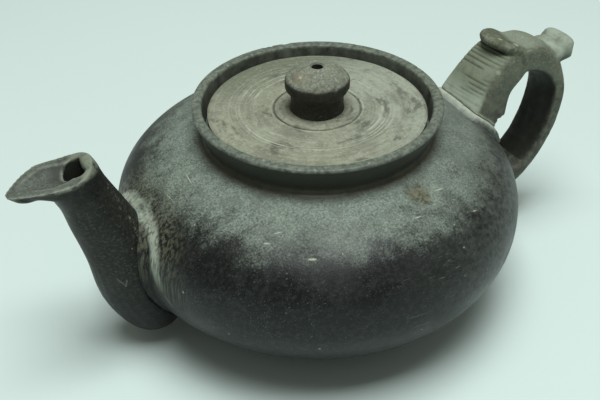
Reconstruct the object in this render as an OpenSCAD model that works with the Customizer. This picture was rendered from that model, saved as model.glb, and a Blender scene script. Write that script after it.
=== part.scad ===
// Stone kettle: a turned pot with a drop-in lid, a beaked spout and an ear handle.
// The origin is the middle of the flat base, +Z is up, the spout lies along -X and the handle along +X.

/* [Pot] */
// Greatest radius of the belly
belly_r = 75; // [68:0.5:82]
// Height of the belly's widest line above the table
belly_z = 38.5; // [35:0.5:42]
// Radius of the flat base
base_r = 34; // [26:0.5:40]
// Squareness of the curve below the widest line, where 2 is an ellipse
belly_n = 2.05; // [1.9:0.05:2.6]
// Rise of the shoulder's curve above the widest line
shoulder_h = 33.5; // [30:0.5:37]
// Squareness of the shoulder's curve, where 2 is an ellipse
shoulder_n = 2.45; // [2:0.05:3]
// Thickness of the wall
wall_t = 5; // [4:0.25:7]
// Thickness of the floor
floor_t = 6; // [4:0.5:9]

/* [Collar and seat] */
// Outer radius of the rim
rim_r = 44.9; // [41:0.1:49]
// Thickness of the rim
rim_t = 4; // [2.6:0.1:4.8]
// Height of the rounding on top of the rim
rim_round = 1.5; // [0.6:0.1:2.5]
// Height of the collar above its foot
collar_h = 12; // [10:0.25:15]
// How far the rim stands out past the collar's foot
collar_flare = 4.5; // [3:0.1:5.5]
// Reach of the hollow rounding at the collar's foot
collar_foot_round = 3; // [1:0.1:4]
// How far the seat's wall leans in from the rim to the ledge
seat_lean = 1; // [0.6:0.1:2]
// Width of the ledge that carries the lid
ledge_w = 6; // [4:0.5:9]

/* [Lid] */
// Thickness of the lid
lid_t = 5.5; // [4:0.25:7]
// Depth of the lid's top below the rim
lid_drop = 3.2; // [2:0.1:4.5]
// Room between the lid and the wall of its seat
lid_gap = 0.7; // [0.4:0.1:1.2]
// Bevel on the lid's edges
lid_bevel = 0.8; // [0.3:0.1:1.5]
// Radius of the inner turned ring
inner_ring_r = 15.6; // [13.5:0.1:18]
// Radius of the outer turned ring
outer_ring_r = 22.6; // [20:0.1:32]
// Width of a turned ring
ring_w = 0.9; // [0.5:0.1:1.5]
// Depth of a turned ring
ring_d = 0.5; // [0.3:0.1:0.9]

/* [Knob] */
// Height of the knob above the lid
knob_h = 16.6; // [14:0.2:20]
// Radius of the knob's cap
cap_r = 11.5; // [10.6:0.1:13]
// Height of the cap's upright edge
cap_edge_h = 3.6; // [2:0.2:5]
// Height of the cap's dome
cap_dome_h = 4.9; // [3:0.1:6]
// Height of the slope from the cap's edge to the neck
cap_under_h = 1.8; // [0.8:0.1:2.4]
// Radius of the neck
neck_r = 9.7; // [7:0.1:10.4]
// Radius of the peg that holds the knob in the lid
peg_r = 5; // [3.6:0.1:6.5]
// Room round the peg
peg_gap = 0.1; // [0.05:0.01:0.3]
// Diameter of the steam vent
vent_d = 4; // [3:0.1:6]

/* [Spout's line] */
// Heel of the spout, as distance out from the belly and height
heel_at = [-5, 18.2]; // [-8:0.1:24]
// Lower stretch
low_at = [-0.2, 28.5]; // [-4:0.1:34]
// Middle
mid_at = [3.3, 44.2]; // [0:0.1:50]
// Upper stretch
high_at = [8.5, 58.7]; // [4:0.1:64]
// Throat under the mouth
throat_at = [12.8, 70.5]; // [9:0.1:76]
// Back of the mouth
mouth_at = [17, 78]; // [12:0.1:84]
// Eye of the bore in the mouth
eye_at = [14.4, 81.5]; // [10:0.1:86]
// Widest place of the beak
beak_at = [24.2, 79.3]; // [20:0.1:84]
// Narrowing of the beak
nose_at = [31, 79]; // [26:0.1:84]
// Tip of the beak
tip_at = [37, 78.6]; // [32:0.1:84]

/* [Spout's sections] */
// Diameter at the heel and the lower stretch
spout_low_d = 26; // [22:0.1:29]
// Diameter at the middle
spout_mid_d = 24.2; // [19:0.1:27]
// Diameter at the upper stretch
spout_high_d = 21.2; // [17:0.1:25]
// Diameter at the throat
throat_d = 18.4; // [15:0.1:22]
// Width and depth at the back of the mouth
mouth_size = [19, 20.2]; // [15:0.1:24]
// Width and depth at the widest place of the beak
beak_size = [18.8, 14]; // [11:0.1:23]
// Width and depth at the narrowing of the beak
nose_size = [13, 9]; // [7:0.1:16]
// Width and depth at the tip of the beak
tip_size = [5.4, 6.6]; // [4:0.1:9]
// Depth of the rounded heel below its widest section
heel_depth = 14.8; // [11:0.1:17]

/* [Mouth and waterway] */
// Height of the mouth's edge at the tip
mouth_tip_z = 76.2; // [75:0.1:78]
// Height of the mouth's edge along the beak
mouth_side_z = 79.3; // [77:0.1:81]
// Height of the mouth's edge at its back
mouth_back_z = 84.8; // [82:0.1:88]
// How far the mouth's edge reaches behind the back of the mouth
mouth_reach = 11; // [9:0.1:13]
// Height of the port in the pot's wall
port_z = 20; // [17:0.5:26]
// Diameter of the port
port_d = 10; // [7:0.2:13]
// Diameter of the bore under the mouth
bore_d = 8.4; // [6:0.2:11]
// Width and depth of the eye
eye_size = [10.2, 10]; // [8:0.1:12]
// Share of the beak's depth that is left under the trough
trough_floor = 0.28; // [0.15:0.01:0.4]
// Thickness of the beak's side
beak_wall = 2.4; // [1.6:0.1:3.5]
// Thickness of the beak's side at its narrowing
nose_wall = 1.6; // [1:0.1:2.4]

/* [Handle's line] */
// Root on the shoulder, as distance out from the belly and height
root_at = [-6.9, 57.6]; // [-12:0.1:64]
// Front limb
front_at = [-1.3, 69.2]; // [-6:0.1:74]
// Neck under the thumb rest
neck_at = [6.2, 75.8]; // [1:0.1:81]
// Top of the loop
top_at = [13.6, 77.6]; // [9:0.1:83]
// Bend of the loop
bend_at = [23, 73.8]; // [18:0.1:78]
// Upper back limb
back_high_at = [29, 65.5]; // [24:0.1:70]
// Middle of the back limb
back_at = [30.7, 56]; // [25:0.1:62]
// Lower back limb
back_low_at = [27.3, 41]; // [21:0.1:47]
// Sweep towards the belly
sweep_at = [16.4, 25.8]; // [10:0.1:32]
// Lower root on the belly
low_root_at = [-6, 16.8]; // [-10:0.1:22]

/* [Handle's sections] */
// Width of the loop's strap
strap_w = 18.4; // [15:0.1:23]
// Thickness of the loop's strap at the back
strap_t = 7.2; // [5:0.1:9]
// Thickness at the bend
bend_t = 10.8; // [8:0.1:13]
// Thickness at the top of the loop
top_t = 13.4; // [10:0.1:15]
// Width and thickness of the neck
neck_size = [20.4, 16.6]; // [13:0.1:25]
// Width and thickness of the front limb
front_size = [22, 17.4]; // [14:0.1:27]
// Width and thickness of the root on the shoulder
root_size = [28, 19.4]; // [16:0.1:33]
// Width and thickness of the lower root
low_root_size = [25, 11]; // [8:0.1:30]
// Squareness of the sections, where 2 is an ellipse
strap_n = 4; // [2:0.1:5]

/* [Thumb rest and spur] */
// Radius of the thumb rest
thumb_r = 9.8; // [8:0.1:12]
// Thickness of the thumb rest
thumb_t = 4.2; // [3:0.1:6]
// Slope of the thumb rest, front edge up
thumb_tilt = 18; // [5:1:30]
// How far the thumb rest's middle lies behind the neck
thumb_back = -0.2; // [-3:0.1:3]
// Height of the thumb rest's middle above the neck
thumb_rise = 7.8; // [6:0.1:9]
// Length of the spur behind the loop's bend
spur_l = 12.6; // [10:0.1:17]
// How far the spur's end rises above its root
spur_rise = 3.2; // [0:0.1:6]
// Distance of the spur's waist from the bend
spur_waist = 5.8; // [3:0.1:8]
// Height of the spur's waist
spur_waist_h = 7; // [5:0.1:9]
// Width of the spur's waist
spur_waist_w = 12.4; // [9:0.1:16]
// Width of the spur's end
spur_end_w = 16.4; // [12:0.1:20]
// Height of the spur's end
spur_end_h = 9.4; // [7:0.1:12]
// Rounding of the spur's end
spur_round = 1.6; // [0.8:0.1:2.5]

/* [Bonds] */
// Thickness of the filler between a root and the pot
bond_t = 1.4; // [0.8:0.1:2.5]
// Height of the bed under the handle's upper root
pad_t = 2; // [1.4:0.1:4]
// How far the filler stands out round the handle's roots
bond_lip = 0.4; // [0.2:0.1:1]
// How far the filler is smeared over the pot round the spout's root
bond_smear = 7.5; // [5:0.1:10]
// How high the filler climbs up the spout's sides
bond_climb = 2.2; // [1.4:0.1:4]
// Thickness of the smeared filler's edge
bond_edge = 0.35; // [0.2:0.05:0.6]
// Share of the smear and the climb that is left under the heel
bond_low_share = 0.3; // [0.25:0.05:1]

/* [Hidden] */

$fn = 96;
stone_dark = "#3b403d";
stone_grey = "#4b514b";
stone_pale = "#8b8d7e";
stone_knob = "#6d7065";
filler = "#a7a896";

// Angle between two points of a turned profile
profile_step = 6;
// Steps along the mouth's edge and over the knob's dome
mouth_steps = 14;
dome_steps = 8;
// Number of sides of a swept form, and of rings from one station to the next
sweep_sides = 24;
sweep_rings = 4;
// Angles at which the spout's heel closes
heel_angles = [80, 55, 30];
// Stone left in the bowl above the port
port_margin = 1;
// Shortest step at the end of a turned profile, as a share of a whole one
shortest_step = 0.25;
// Number of sections round the spout's root, of steps over a hollow curve, and of halvings to find an edge
root_sections = 60;
hollow_steps = 5;
root_halvings = 14;
// Shares of the mouth's length where its edge has risen to the beak's side and starts to rise to its back
mouth_front_share = 0.5;
mouth_back_share = 0.6;

// Depth at which the belly's curve would close below the base
belly_depth = belly_z / pow(1 - pow(base_r / belly_r, belly_n), 1 / belly_n);
collar_foot_r = rim_r - collar_flare;
foot_z = belly_z + shoulder_h * pow(1 - pow(collar_foot_r / belly_r, shoulder_n), 1 / shoulder_n);
rim_z = foot_z + collar_h;
lid_top_z = rim_z - lid_drop;
seat_z = lid_top_z - lid_t;
seat_r = rim_r - rim_t - seat_lean;
lid_r = seat_r - lid_gap;
opening_r = seat_r - ledge_w;

// Inside of the pot, the wall's thickness within the outside
inside_r = belly_r - wall_t;
inside_h = shoulder_h - wall_t;
inside_depth = belly_depth - wall_t;

// Points of a quarter curve from angle a up to angle b, r along the first axis and h along the second
function quarter(r, h, n, a, b) =
    let (
        first = floor(a / profile_step + shortest_step) + 1,
        last = ceil(b / profile_step - shortest_step) - 1,
        angles = concat([a], [for (k = [first : 1 : last]) k * profile_step], [b])
    )
    [for (t = angles) [r * pow(cos(t), 2 / n), h * pow(sin(t), 2 / n)]];

// Angle at which a quarter curve reaches a share of its height, or of its radius
function angle_at_height(share, n) = asin(pow(min(1, share), n / 2));
function angle_at_radius(share, n) = acos(pow(min(1, share), n / 2));

// The pot's curves set about its widest line, from below upwards
function below_line(r, depth, low_z) =
    let (low_angle = angle_at_height((belly_z - low_z) / depth, belly_n))
    reversed([for (p = quarter(r, depth, belly_n, 0, low_angle)) [p[0], belly_z - p[1]]]);
function above_line(r, rise, top_r) =
    let (top_angle = angle_at_radius(top_r / r, shoulder_n))
    [for (p = quarter(r, rise, shoulder_n, 0, top_angle)) [p[0], belly_z + p[1]]];

// All of a list but its first point, its first or last few, and its reverse
function rest_of(list) = [for (i = [1 : len(list) - 1]) list[i]];
function first_of(list, count) = [for (i = [0 : count - 1]) list[i]];
function last_of(list, count) = [for (i = [len(list) - count : len(list) - 1]) list[i]];
function reversed(list) = [for (i = [len(list) - 1 : -1 : 0]) list[i]];

// Hollow curve from a to b that starts and ends in line with the corner between them
function hollow(a, corner, b) =
    [for (i = [0 : hollow_steps]) let (t = i / hollow_steps)
        pow(1 - t, 2) * a + 2 * t * (1 - t) * corner + t * t * b];

// Rounded foot of the collar, from the shoulder up to the collar's outer face
function collar_foot_curve() =
    let (
        corner = [collar_foot_r, foot_z],
        shoulder = last_of(above_line(belly_r, shoulder_h, collar_foot_r + collar_foot_round), 1)[0],
        face = corner + unit([rim_r, rim_z - rim_round] - corner) * collar_foot_round
    )
    hollow(shoulder, corner, face);

// Half round along the top of the rim, from its outer edge to its inner edge
function rim_curve() =
    let (middle = [rim_r - rim_t / 2, rim_z - rim_round])
    [for (a = [0 : 30 : 180]) middle + [rim_t / 2 * cos(a), rim_round * sin(a)]];

// Outline of the pot, once round
function pot_outline() = concat(
    [[0, 0]],
    below_line(belly_r, belly_depth, 0),
    rest_of(above_line(belly_r, shoulder_h, collar_foot_r + collar_foot_round)),
    rest_of(collar_foot_curve()),
    rim_curve(),
    [[seat_r, seat_z], [opening_r, seat_z]],
    reversed(concat(
        below_line(inside_r, inside_depth, floor_t),
        rest_of(above_line(inside_r, inside_h, opening_r))
    )),
    [[0, floor_t]]
);

// The pot's outside without its collar, grown outwards
module pot_form(grow) {
    rotate_extrude()
        polygon(concat(
            [[0, 0]],
            below_line(belly_r + grow, belly_depth + grow, 0),
            rest_of(above_line(belly_r + grow, shoulder_h + grow, 0))
        ));
}

// Smooth curve through stations
function between(a, b, c, d, t) =
    0.5 * (2 * b + (c - a) * t + (2 * a - 5 * b + 4 * c - d) * t * t + (3 * b - a - 3 * c + d) * t * t * t);
function smooth(stations) = let (last = len(stations) - 1) concat(
    [for (i = [0 : last - 1]) for (k = [0 : sweep_rings - 1])
        let (before = stations[max(i - 1, 0)], after = stations[min(i + 2, last)])
        between(before, stations[i], stations[i + 1], after, k / sweep_rings)],
    [stations[last]]
);

// Signed power, for the rounded corners of a section
function soft(v, n) = sign(v) * pow(abs(v), 2 / n);

// One closed section of a swept form: row is x, z, width and depth, and way is the direction of the sweep
function section(row, way, n, grow) = let (w = row[2] / 2 + grow, d = row[3] / 2 + grow)
    [for (k = [0 : sweep_sides - 1])
        let (t = 360 * k / sweep_sides, u = w * soft(cos(t), n), v = d * soft(sin(t), n))
        [row[0] - v * way[1], u, row[1] + v * way[0]]];
function unit(v) = v / norm(v);
function way_at(rows, i) = let (a = rows[max(i - 1, 0)], b = rows[min(i + 1, len(rows) - 1)])
    unit([b[0] - a[0], b[1] - a[1]]);

// Solid swept through rows of x, z, width and depth
module sweep(rows, n, grow = 0) {
    last = len(rows) - 1;
    points = [for (i = [0 : last]) each section(rows[i], way_at(rows, i), n, grow)];
    sides = [for (i = [0 : last - 1]) for (k = [0 : sweep_sides - 1])
        let (a = i * sweep_sides + k, b = i * sweep_sides + (k + 1) % sweep_sides)
        each [[a, a + sweep_sides, b], [b, a + sweep_sides, b + sweep_sides]]];
    ends = [
        [for (k = [0 : sweep_sides - 1]) k],
        [for (k = [sweep_sides - 1 : -1 : 0]) last * sweep_sides + k]
    ];
    polyhedron(points, concat(sides, ends), convexity = 8);
}

// A station set out from the belly towards the spout, or towards the handle
function spout_station(at, size) = [-belly_r - at[0], at[1], size[0], size[1]];
function handle_station(at, size) = [belly_r + at[0], at[1], size[0], size[1]];

// A station moved on along the line from a second one, to carry a root into the pot
function carried_in(s, from, length) = let (way = unit([s[0] - from[0], s[1] - from[1]]))
    [s[0] + way[0] * length, s[1] + way[1] * length, s[2], s[3]];

// The pot is one stone, and its nodes are the plain disc and rings between these heights
bowl_top_z = port_z + port_d / 2 + port_margin;
belly_top_z = belly_z + shoulder_h / 2 - port_margin;
module pot_band(low_z, high_z) {
    color(stone_dark)
        intersection() {
            difference() {
                rotate_extrude()
                    polygon(pot_outline());
                port();
            }
            translate([0, 0, low_z])
                cylinder(r = belly_r + wall_t, h = high_z - low_z);
        }
}

module pot_floor() {
    pot_band(-wall_t, floor_t);
}

module pot_bowl() {
    pot_band(floor_t, bowl_top_z);
}

module pot_belly() {
    pot_band(bowl_top_z, belly_top_z);
}

module pot_shoulder() {
    pot_band(belly_top_z, seat_z);
}

module pot_collar() {
    pot_band(seat_z, rim_z + wall_t);
}

// Round port from the pot's inside into the spout
module port() {
    translate([-belly_r, 0, port_z])
        rotate([0, 90, 0])
            cylinder(d = port_d, h = 2 * port_d + wall_t);
}

// The spout's heel, rounded under
heel = spout_station(heel_at, [spout_low_d, spout_low_d]);
lower_tube = spout_station(low_at, [spout_low_d, spout_low_d]);
function heel_cap(angle) =
    let (end = carried_in(heel, lower_tube, heel_depth * sin(angle)))
    [end[0], end[1], heel[2] * cos(angle), heel[3] * cos(angle)];

// Stations of the tube and of the beak
tube_stations = [
    heel,
    lower_tube,
    spout_station(mid_at, [spout_mid_d, spout_mid_d]),
    spout_station(high_at, [spout_high_d, spout_high_d]),
    spout_station(throat_at, [throat_d, throat_d])
];
beak_stations = [
    spout_station(mouth_at, mouth_size),
    spout_station(beak_at, beak_size),
    spout_station(nose_at, nose_size),
    spout_station(tip_at, tip_size)
];
spout_rows = smooth(concat([for (a = heel_angles) heel_cap(a)], tube_stations, beak_stations));
// Rows from the heel up to the throat, past where the spout leaves the pot
spout_root_rows = first_of(spout_rows, (len(heel_angles) + len(tube_stations) - 1) * sweep_rings + 1);

// The waterway's stations: a bore of one diameter, and a trough that lies within the beak and opens upwards
function bored(s, d) = [s[0], s[1], d, d];
function trough(s, wall) = [s[0], s[1] + trough_floor * s[3], s[2] - 2 * wall, s[3]];
waterway_rows = smooth([
    [heel[0] + port_d + wall_t, port_z, port_d, port_d],
    [heel[0] + wall_t, port_z, port_d, port_d],
    bored(tube_stations[1], port_d),
    bored(tube_stations[2], port_d),
    bored(tube_stations[3], bore_d),
    bored(tube_stations[4], bore_d),
    spout_station(eye_at, eye_size),
    trough(beak_stations[1], beak_wall),
    trough(beak_stations[2], nose_wall),
    trough(beak_stations[3], nose_wall)
]);

// Height of the mouth's edge at a share of its length from the tip
function mouth_z(share) = mouth_tip_z
    + (mouth_side_z - mouth_tip_z) * sin(90 * min(1, share / mouth_front_share))
    + (mouth_back_z - mouth_side_z) * pow(max(0, (share - mouth_back_share) / (1 - mouth_back_share)), 2);

// Everything above the mouth's edge
module mouth_cut() {
    tip_x = -belly_r - tip_at[0];
    back_x = -belly_r - mouth_at[0] + mouth_reach;
    margin = beak_size[0];
    rotate([90, 0, 0])
        linear_extrude(height = 2 * margin, center = true)
            polygon(concat(
                [[tip_x - margin, mouth_tip_z]],
                [for (i = [0 : mouth_steps]) let (share = i / mouth_steps)
                    [tip_x + (back_x - tip_x) * share, mouth_z(share)]],
                [[back_x + margin, mouth_back_z], [back_x + margin, mouth_back_z + margin]],
                [[tip_x - margin, mouth_back_z + margin]]
            ));
}

module spout() {
    color(stone_dark)
        difference() {
            sweep(spout_rows, 2);
            sweep(waterway_rows, 2);
            pot_form(bond_t);
            mouth_cut();
        }
}

// Radius of the pot, grown outwards, at a height
function pot_r(z, grow) =
    let (
        below = z < belly_z,
        n = below ? belly_n : shoulder_n,
        share = abs(z - belly_z) / ((below ? belly_depth : shoulder_h) + grow)
    )
    (belly_r + grow) * pow(max(0, 1 - pow(share, n)), 1 / n);

// Point of the grown pot at an angle and a distance from the middle of the spout's root, seen along X
function pot_point(angle, distance, grow) =
    let (y = distance * cos(angle), z = low_at[1] + distance * sin(angle))
    [-sqrt(max(0, pow(pot_r(z, grow), 2) - y * y)), y, z];

// Distance of a point from the spout's outside, negative within it
function spout_gap(p) = min([for (i = [0 : len(spout_root_rows) - 2])
    let (
        a = spout_root_rows[i],
        b = spout_root_rows[i + 1],
        way = [b[0] - a[0], b[1] - a[1]],
        along = ([p[0] - a[0], p[2] - a[1]] * way) / (way * way),
        row = a + (b - a) * max(0, min(1, along))
    )
    norm([p[0] - row[0], p[1], p[2] - row[1]]) - row[2] / 2]);

// Distance from the root's middle at which the spout's side leaves the grown pot, between two bounds
function root_edge(angle, grow, near, far, halvings) =
    let (middle = (near + far) / 2)
    halvings == 0 ? middle
        : spout_gap(pot_point(angle, middle, grow)) < 0 ? root_edge(angle, grow, middle, far, halvings - 1)
        : root_edge(angle, grow, near, middle, halvings - 1);

// One section of the filler round the spout's root, hollow between the pot and the spout
root_reach = 2 * spout_low_d;
function root_section(angle) =
    let (
        share = bond_low_share + (1 - bond_low_share) * (1 + sin(angle)) / 2,
        smear = bond_smear * share,
        climb = bond_climb * share,
        foot = root_edge(angle, 0, 0, root_reach, root_halvings),
        side = root_edge(angle, climb, 0, root_reach, root_halvings)
    )
    concat(
        [pot_point(angle, foot - bond_t, -bond_t), pot_point(angle, foot + smear, -bond_t)],
        [for (at = hollow([foot + smear, bond_edge], [foot + bond_edge, bond_edge], [side + bond_edge, climb]))
            pot_point(angle, at[0], at[1])],
        [pot_point(angle, side - bond_t, climb)]
    );

// Ring of filler round the spout's root
module root_ring() {
    sections = [for (k = [0 : root_sections - 1]) root_section(360 * k / root_sections)];
    sides = len(sections[0]);
    faces = [for (k = [0 : root_sections - 1]) for (i = [0 : sides - 1])
        let (
            near = k * sides,
            far = (k + 1) % root_sections * sides,
            next = (i + 1) % sides
        )
        each [[near + i, far + i, near + next], [near + next, far + i, far + next]]];
    polyhedron([for (s = sections) each s], faces, convexity = 6);
}

module spout_bond() {
    color(filler)
        difference() {
            union() {
                intersection() {
                    sweep(spout_root_rows, 2);
                    pot_form(bond_t);
                }
                root_ring();
            }
            difference() {
                sweep(spout_root_rows, 2);
                pot_form(bond_t);
            }
            pot_form(0);
            port();
        }
}

// Stations of the handle's strap from the shoulder round to the belly
upper_root = handle_station(root_at, root_size);
front_limb = handle_station(front_at, front_size);
lower_sweep = handle_station(sweep_at, [strap_w + bond_lip, strap_t + bond_lip]);
lower_root = handle_station(low_root_at, low_root_size);
handle_rows = smooth([
    carried_in(upper_root, front_limb, root_size[1] / 2),
    upper_root,
    front_limb,
    handle_station(neck_at, neck_size),
    handle_station(top_at, [strap_w, top_t]),
    handle_station(bend_at, [strap_w, bend_t]),
    handle_station(back_high_at, [strap_w, strap_t]),
    handle_station(back_at, [strap_w, strap_t]),
    handle_station(back_low_at, [strap_w, strap_t]),
    lower_sweep,
    lower_root,
    carried_in(lower_root, lower_sweep, low_root_size[1])
]);
// Rows at each end of the strap, past where it leaves the pot
root_rows = 2 * sweep_rings + 1;

// Round lip over the front limb for the thumb
module thumb_rest() {
    edge_r = thumb_t / 2;
    translate([belly_r + neck_at[0] + thumb_back, 0, neck_at[1] + thumb_rise])
        rotate([0, thumb_tilt, 0])
            rotate_extrude()
                polygon(concat(
                    [[0, -edge_r]],
                    [for (a = [-90 : 22.5 : 90]) [thumb_r - edge_r + edge_r * cos(a), edge_r * sin(a)]],
                    [[0, edge_r]]
                ));
}

// Blunt tail that stands out and up behind the loop
module spur() {
    bend_x = belly_r + bend_at[0];
    root_z = bend_at[1] - spur_round / 2;
    sweep(smooth([
        [bend_x, root_z, spur_waist_w, spur_waist_h],
        [bend_x + spur_waist, root_z, spur_waist_w, spur_waist_h],
        [bend_x + spur_l - spur_round, root_z + spur_rise, spur_end_w, spur_end_h],
        [bend_x + spur_l, root_z + spur_rise, spur_end_w - 2 * spur_round, spur_end_h - 2 * spur_round]
    ]), strap_n);
}

// The pot grown by the beds under the handle's roots
module handle_seat() {
    pot_form(bond_t);
    intersection() {
        pot_form(pad_t);
        translate([0, 0, belly_z])
            cylinder(r = belly_r + wall_t, h = 2 * shoulder_h);
    }
}

module handle() {
    color(stone_grey)
        difference() {
            union() {
                sweep(handle_rows, strap_n);
                thumb_rest();
                spur();
            }
            handle_seat();
        }
}

// Bed of filler under a root of the handle
module handle_bond(rows) {
    color(filler)
        difference() {
            intersection() {
                sweep(rows, strap_n, bond_lip);
                handle_seat();
            }
            pot_form(0);
        }
}

module handle_upper_bond() {
    handle_bond(first_of(handle_rows, root_rows));
}

module handle_lower_bond() {
    handle_bond(last_of(handle_rows, root_rows));
}

// A turned ring in the lid's top, seen in its profile from the outer edge inwards
function ring_cut(r) = [[r + ring_w / 2, lid_top_z], [r, lid_top_z - ring_d], [r - ring_w / 2, lid_top_z]];

module lid_disc() {
    color(stone_pale)
        rotate_extrude()
            polygon(concat(
                [[peg_r + peg_gap, seat_z], [lid_r - lid_bevel, seat_z], [lid_r, seat_z + lid_bevel]],
                [[lid_r, lid_top_z - lid_bevel], [lid_r - lid_bevel, lid_top_z]],
                ring_cut(outer_ring_r),
                ring_cut(inner_ring_r),
                [[peg_r + peg_gap, lid_top_z]]
            ));
}

module lid_knob() {
    edge_z = lid_top_z + knob_h - cap_dome_h;
    dome_r = (cap_r * cap_r + cap_dome_h * cap_dome_h) / (2 * cap_dome_h);
    dome_angle = asin(cap_r / dome_r);
    vent_angle = asin(vent_d / 2 / dome_r);
    color(stone_knob)
        rotate_extrude()
            polygon(concat(
                [[vent_d / 2, seat_z], [peg_r, seat_z], [peg_r, lid_top_z], [neck_r, lid_top_z]],
                [[neck_r, edge_z - cap_edge_h - cap_under_h], [cap_r, edge_z - cap_edge_h]],
                [for (i = [0 : dome_steps]) let (a = dome_angle + (vent_angle - dome_angle) * i / dome_steps)
                    [dome_r * sin(a), edge_z + cap_dome_h - dome_r + dome_r * cos(a)]]
            ));
}

pot_floor();
pot_bowl();
pot_belly();
pot_shoulder();
pot_collar();
spout();
spout_bond();
handle();
handle_upper_bond();
handle_lower_bond();
lid_disc();
lid_knob();
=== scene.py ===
"""Looks of a stone kettle: pot, beaked spout, ear handle and drop-in lid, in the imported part's frame."""

import logging
import math
from contextlib import contextmanager
from dataclasses import dataclass, replace
from enum import Enum
from functools import cached_property
from typing import Callable, Iterator, Union

import bpy
import numpy as np
from mathutils import Matrix, Vector, noise
from mathutils.bvhtree import BVHTree


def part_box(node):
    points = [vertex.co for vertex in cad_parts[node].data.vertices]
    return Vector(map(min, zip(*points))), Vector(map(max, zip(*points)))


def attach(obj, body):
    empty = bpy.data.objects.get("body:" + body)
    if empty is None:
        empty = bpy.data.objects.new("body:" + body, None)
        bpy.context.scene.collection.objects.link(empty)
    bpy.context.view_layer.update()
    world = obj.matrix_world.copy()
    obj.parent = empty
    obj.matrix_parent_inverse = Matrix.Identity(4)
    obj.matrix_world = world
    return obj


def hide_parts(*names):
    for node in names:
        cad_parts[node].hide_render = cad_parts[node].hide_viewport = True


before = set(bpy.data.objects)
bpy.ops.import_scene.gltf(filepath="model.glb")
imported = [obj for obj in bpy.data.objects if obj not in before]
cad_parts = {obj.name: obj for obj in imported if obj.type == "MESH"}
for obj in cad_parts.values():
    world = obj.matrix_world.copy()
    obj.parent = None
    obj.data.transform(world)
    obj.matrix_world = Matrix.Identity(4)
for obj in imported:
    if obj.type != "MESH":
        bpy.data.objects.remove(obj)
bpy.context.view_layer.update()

LOG = logging.getLogger("kettle")
MM = 0.001
MERGE_GAP = 0.002 * MM
SMOOTH_SHARE = 0.5
SMOOTH_ANGLE = math.radians(40.0)
ARRIS_ROUNDS = 12
ZERO = (0.0, 0.0, 0.0)

Piece = bpy.types.Object
Socket = bpy.types.NodeSocket
Tree = bpy.types.NodeTree
Plug = Union[Socket, float, tuple]
Plugs = dict[Union[int, str], Plug]
Colour = tuple[float, float, float]
Stretch = tuple[float, float, float]
Span = tuple[float, float]
Outline = list[tuple[float, float]]
Rule = Callable[[Vector, Vector], float]


class Body(Enum):
    """CAD bodies that pieces ride on."""

    POT = "pot"
    LID = "lid"


class Slot(Enum):
    """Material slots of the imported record."""

    DARK = "dark_stone"
    GREY = "grey_stone"
    PALE = "pale_stone"
    KNOB = "knob_stone"
    FILLER = "filler"


class Tool(Enum):
    """Modifiers used to finish a piece."""

    BOOLEAN = "BOOLEAN"
    DISPLACE = "DISPLACE"
    REMESH = "REMESH"
    SHRINKWRAP = "SHRINKWRAP"
    SMOOTH = "SMOOTH"


class Mark(Enum):
    """Numbers that the points of a piece carry for its finish, lengths among them in millimetres."""

    ARRIS = "arris"
    BED = "bed"
    HOLLOW = "hollow"
    LINE = "line"
    SMEAR = "smear"


def fixed(x: float, y: float, z: float) -> Vector:
    """Gives a vector that can't be changed."""
    return Vector((x, y, z)).freeze()


def mm(x: float, y: float, z: float) -> Vector:
    """Gives a fixed vector in metres from millimetres."""
    return (Vector((x, y, z)) * MM).freeze()


def clamp(value: float) -> float:
    """Limits a value to the span from 0 to 1."""
    return max(0.0, min(1.0, value))


def ease(value: float, low: float, high: float) -> float:
    """Rises smoothly from 0 at low to 1 at high."""
    share = clamp((value - low) / (high - low))
    return share * share * (3.0 - 2.0 * share)


def ripple(place: Vector, size: float, seed: float = 0.0) -> float:
    """Soft noise from 0 to 1 whose lumps are about size metres across, with another pattern for each seed."""
    shift = Vector((seed, -seed, 0.5 * seed))
    return clamp(0.5 + 0.7 * noise.noise(place / size + shift))


def away(at: Vector, a: Vector, b: Vector) -> float:
    """Gives the way from a point to the straight line from a to b."""
    share = clamp((at - a).dot(b - a) / (b - a).length_squared)
    return (at - a.lerp(b, share)).length


def quarter(radius: float, height: float, power: float, start: float, end: float, steps: int) -> Outline:
    """Points of a rounded quarter curve.

    Args:
        radius: Reach along the first axis.
        height: Reach along the second axis.
        power: Squareness, where 2 is an ellipse.
        start: First angle in radians.
        end: Last angle in radians.
        steps: Number of steps between them.

    Returns:
        The points from the first angle to the last.
    """
    bend = 2.0 / power
    angles = [start + (end - start) * k / steps for k in range(steps + 1)]
    return [(radius * max(0.0, math.cos(a)) ** bend, height * max(0.0, math.sin(a)) ** bend) for a in angles]


def hollow(a: Span, corner: Span, b: Span, steps: int) -> Outline:
    """Points of a hollow curve from a to b that leans on the corner between them."""
    shares = [k / steps for k in range(steps + 1)]
    return [
        tuple((1 - t) ** 2 * p + 2 * t * (1 - t) * c + t * t * q for p, c, q in zip(a, corner, b))
        for t in shares
    ]


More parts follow.
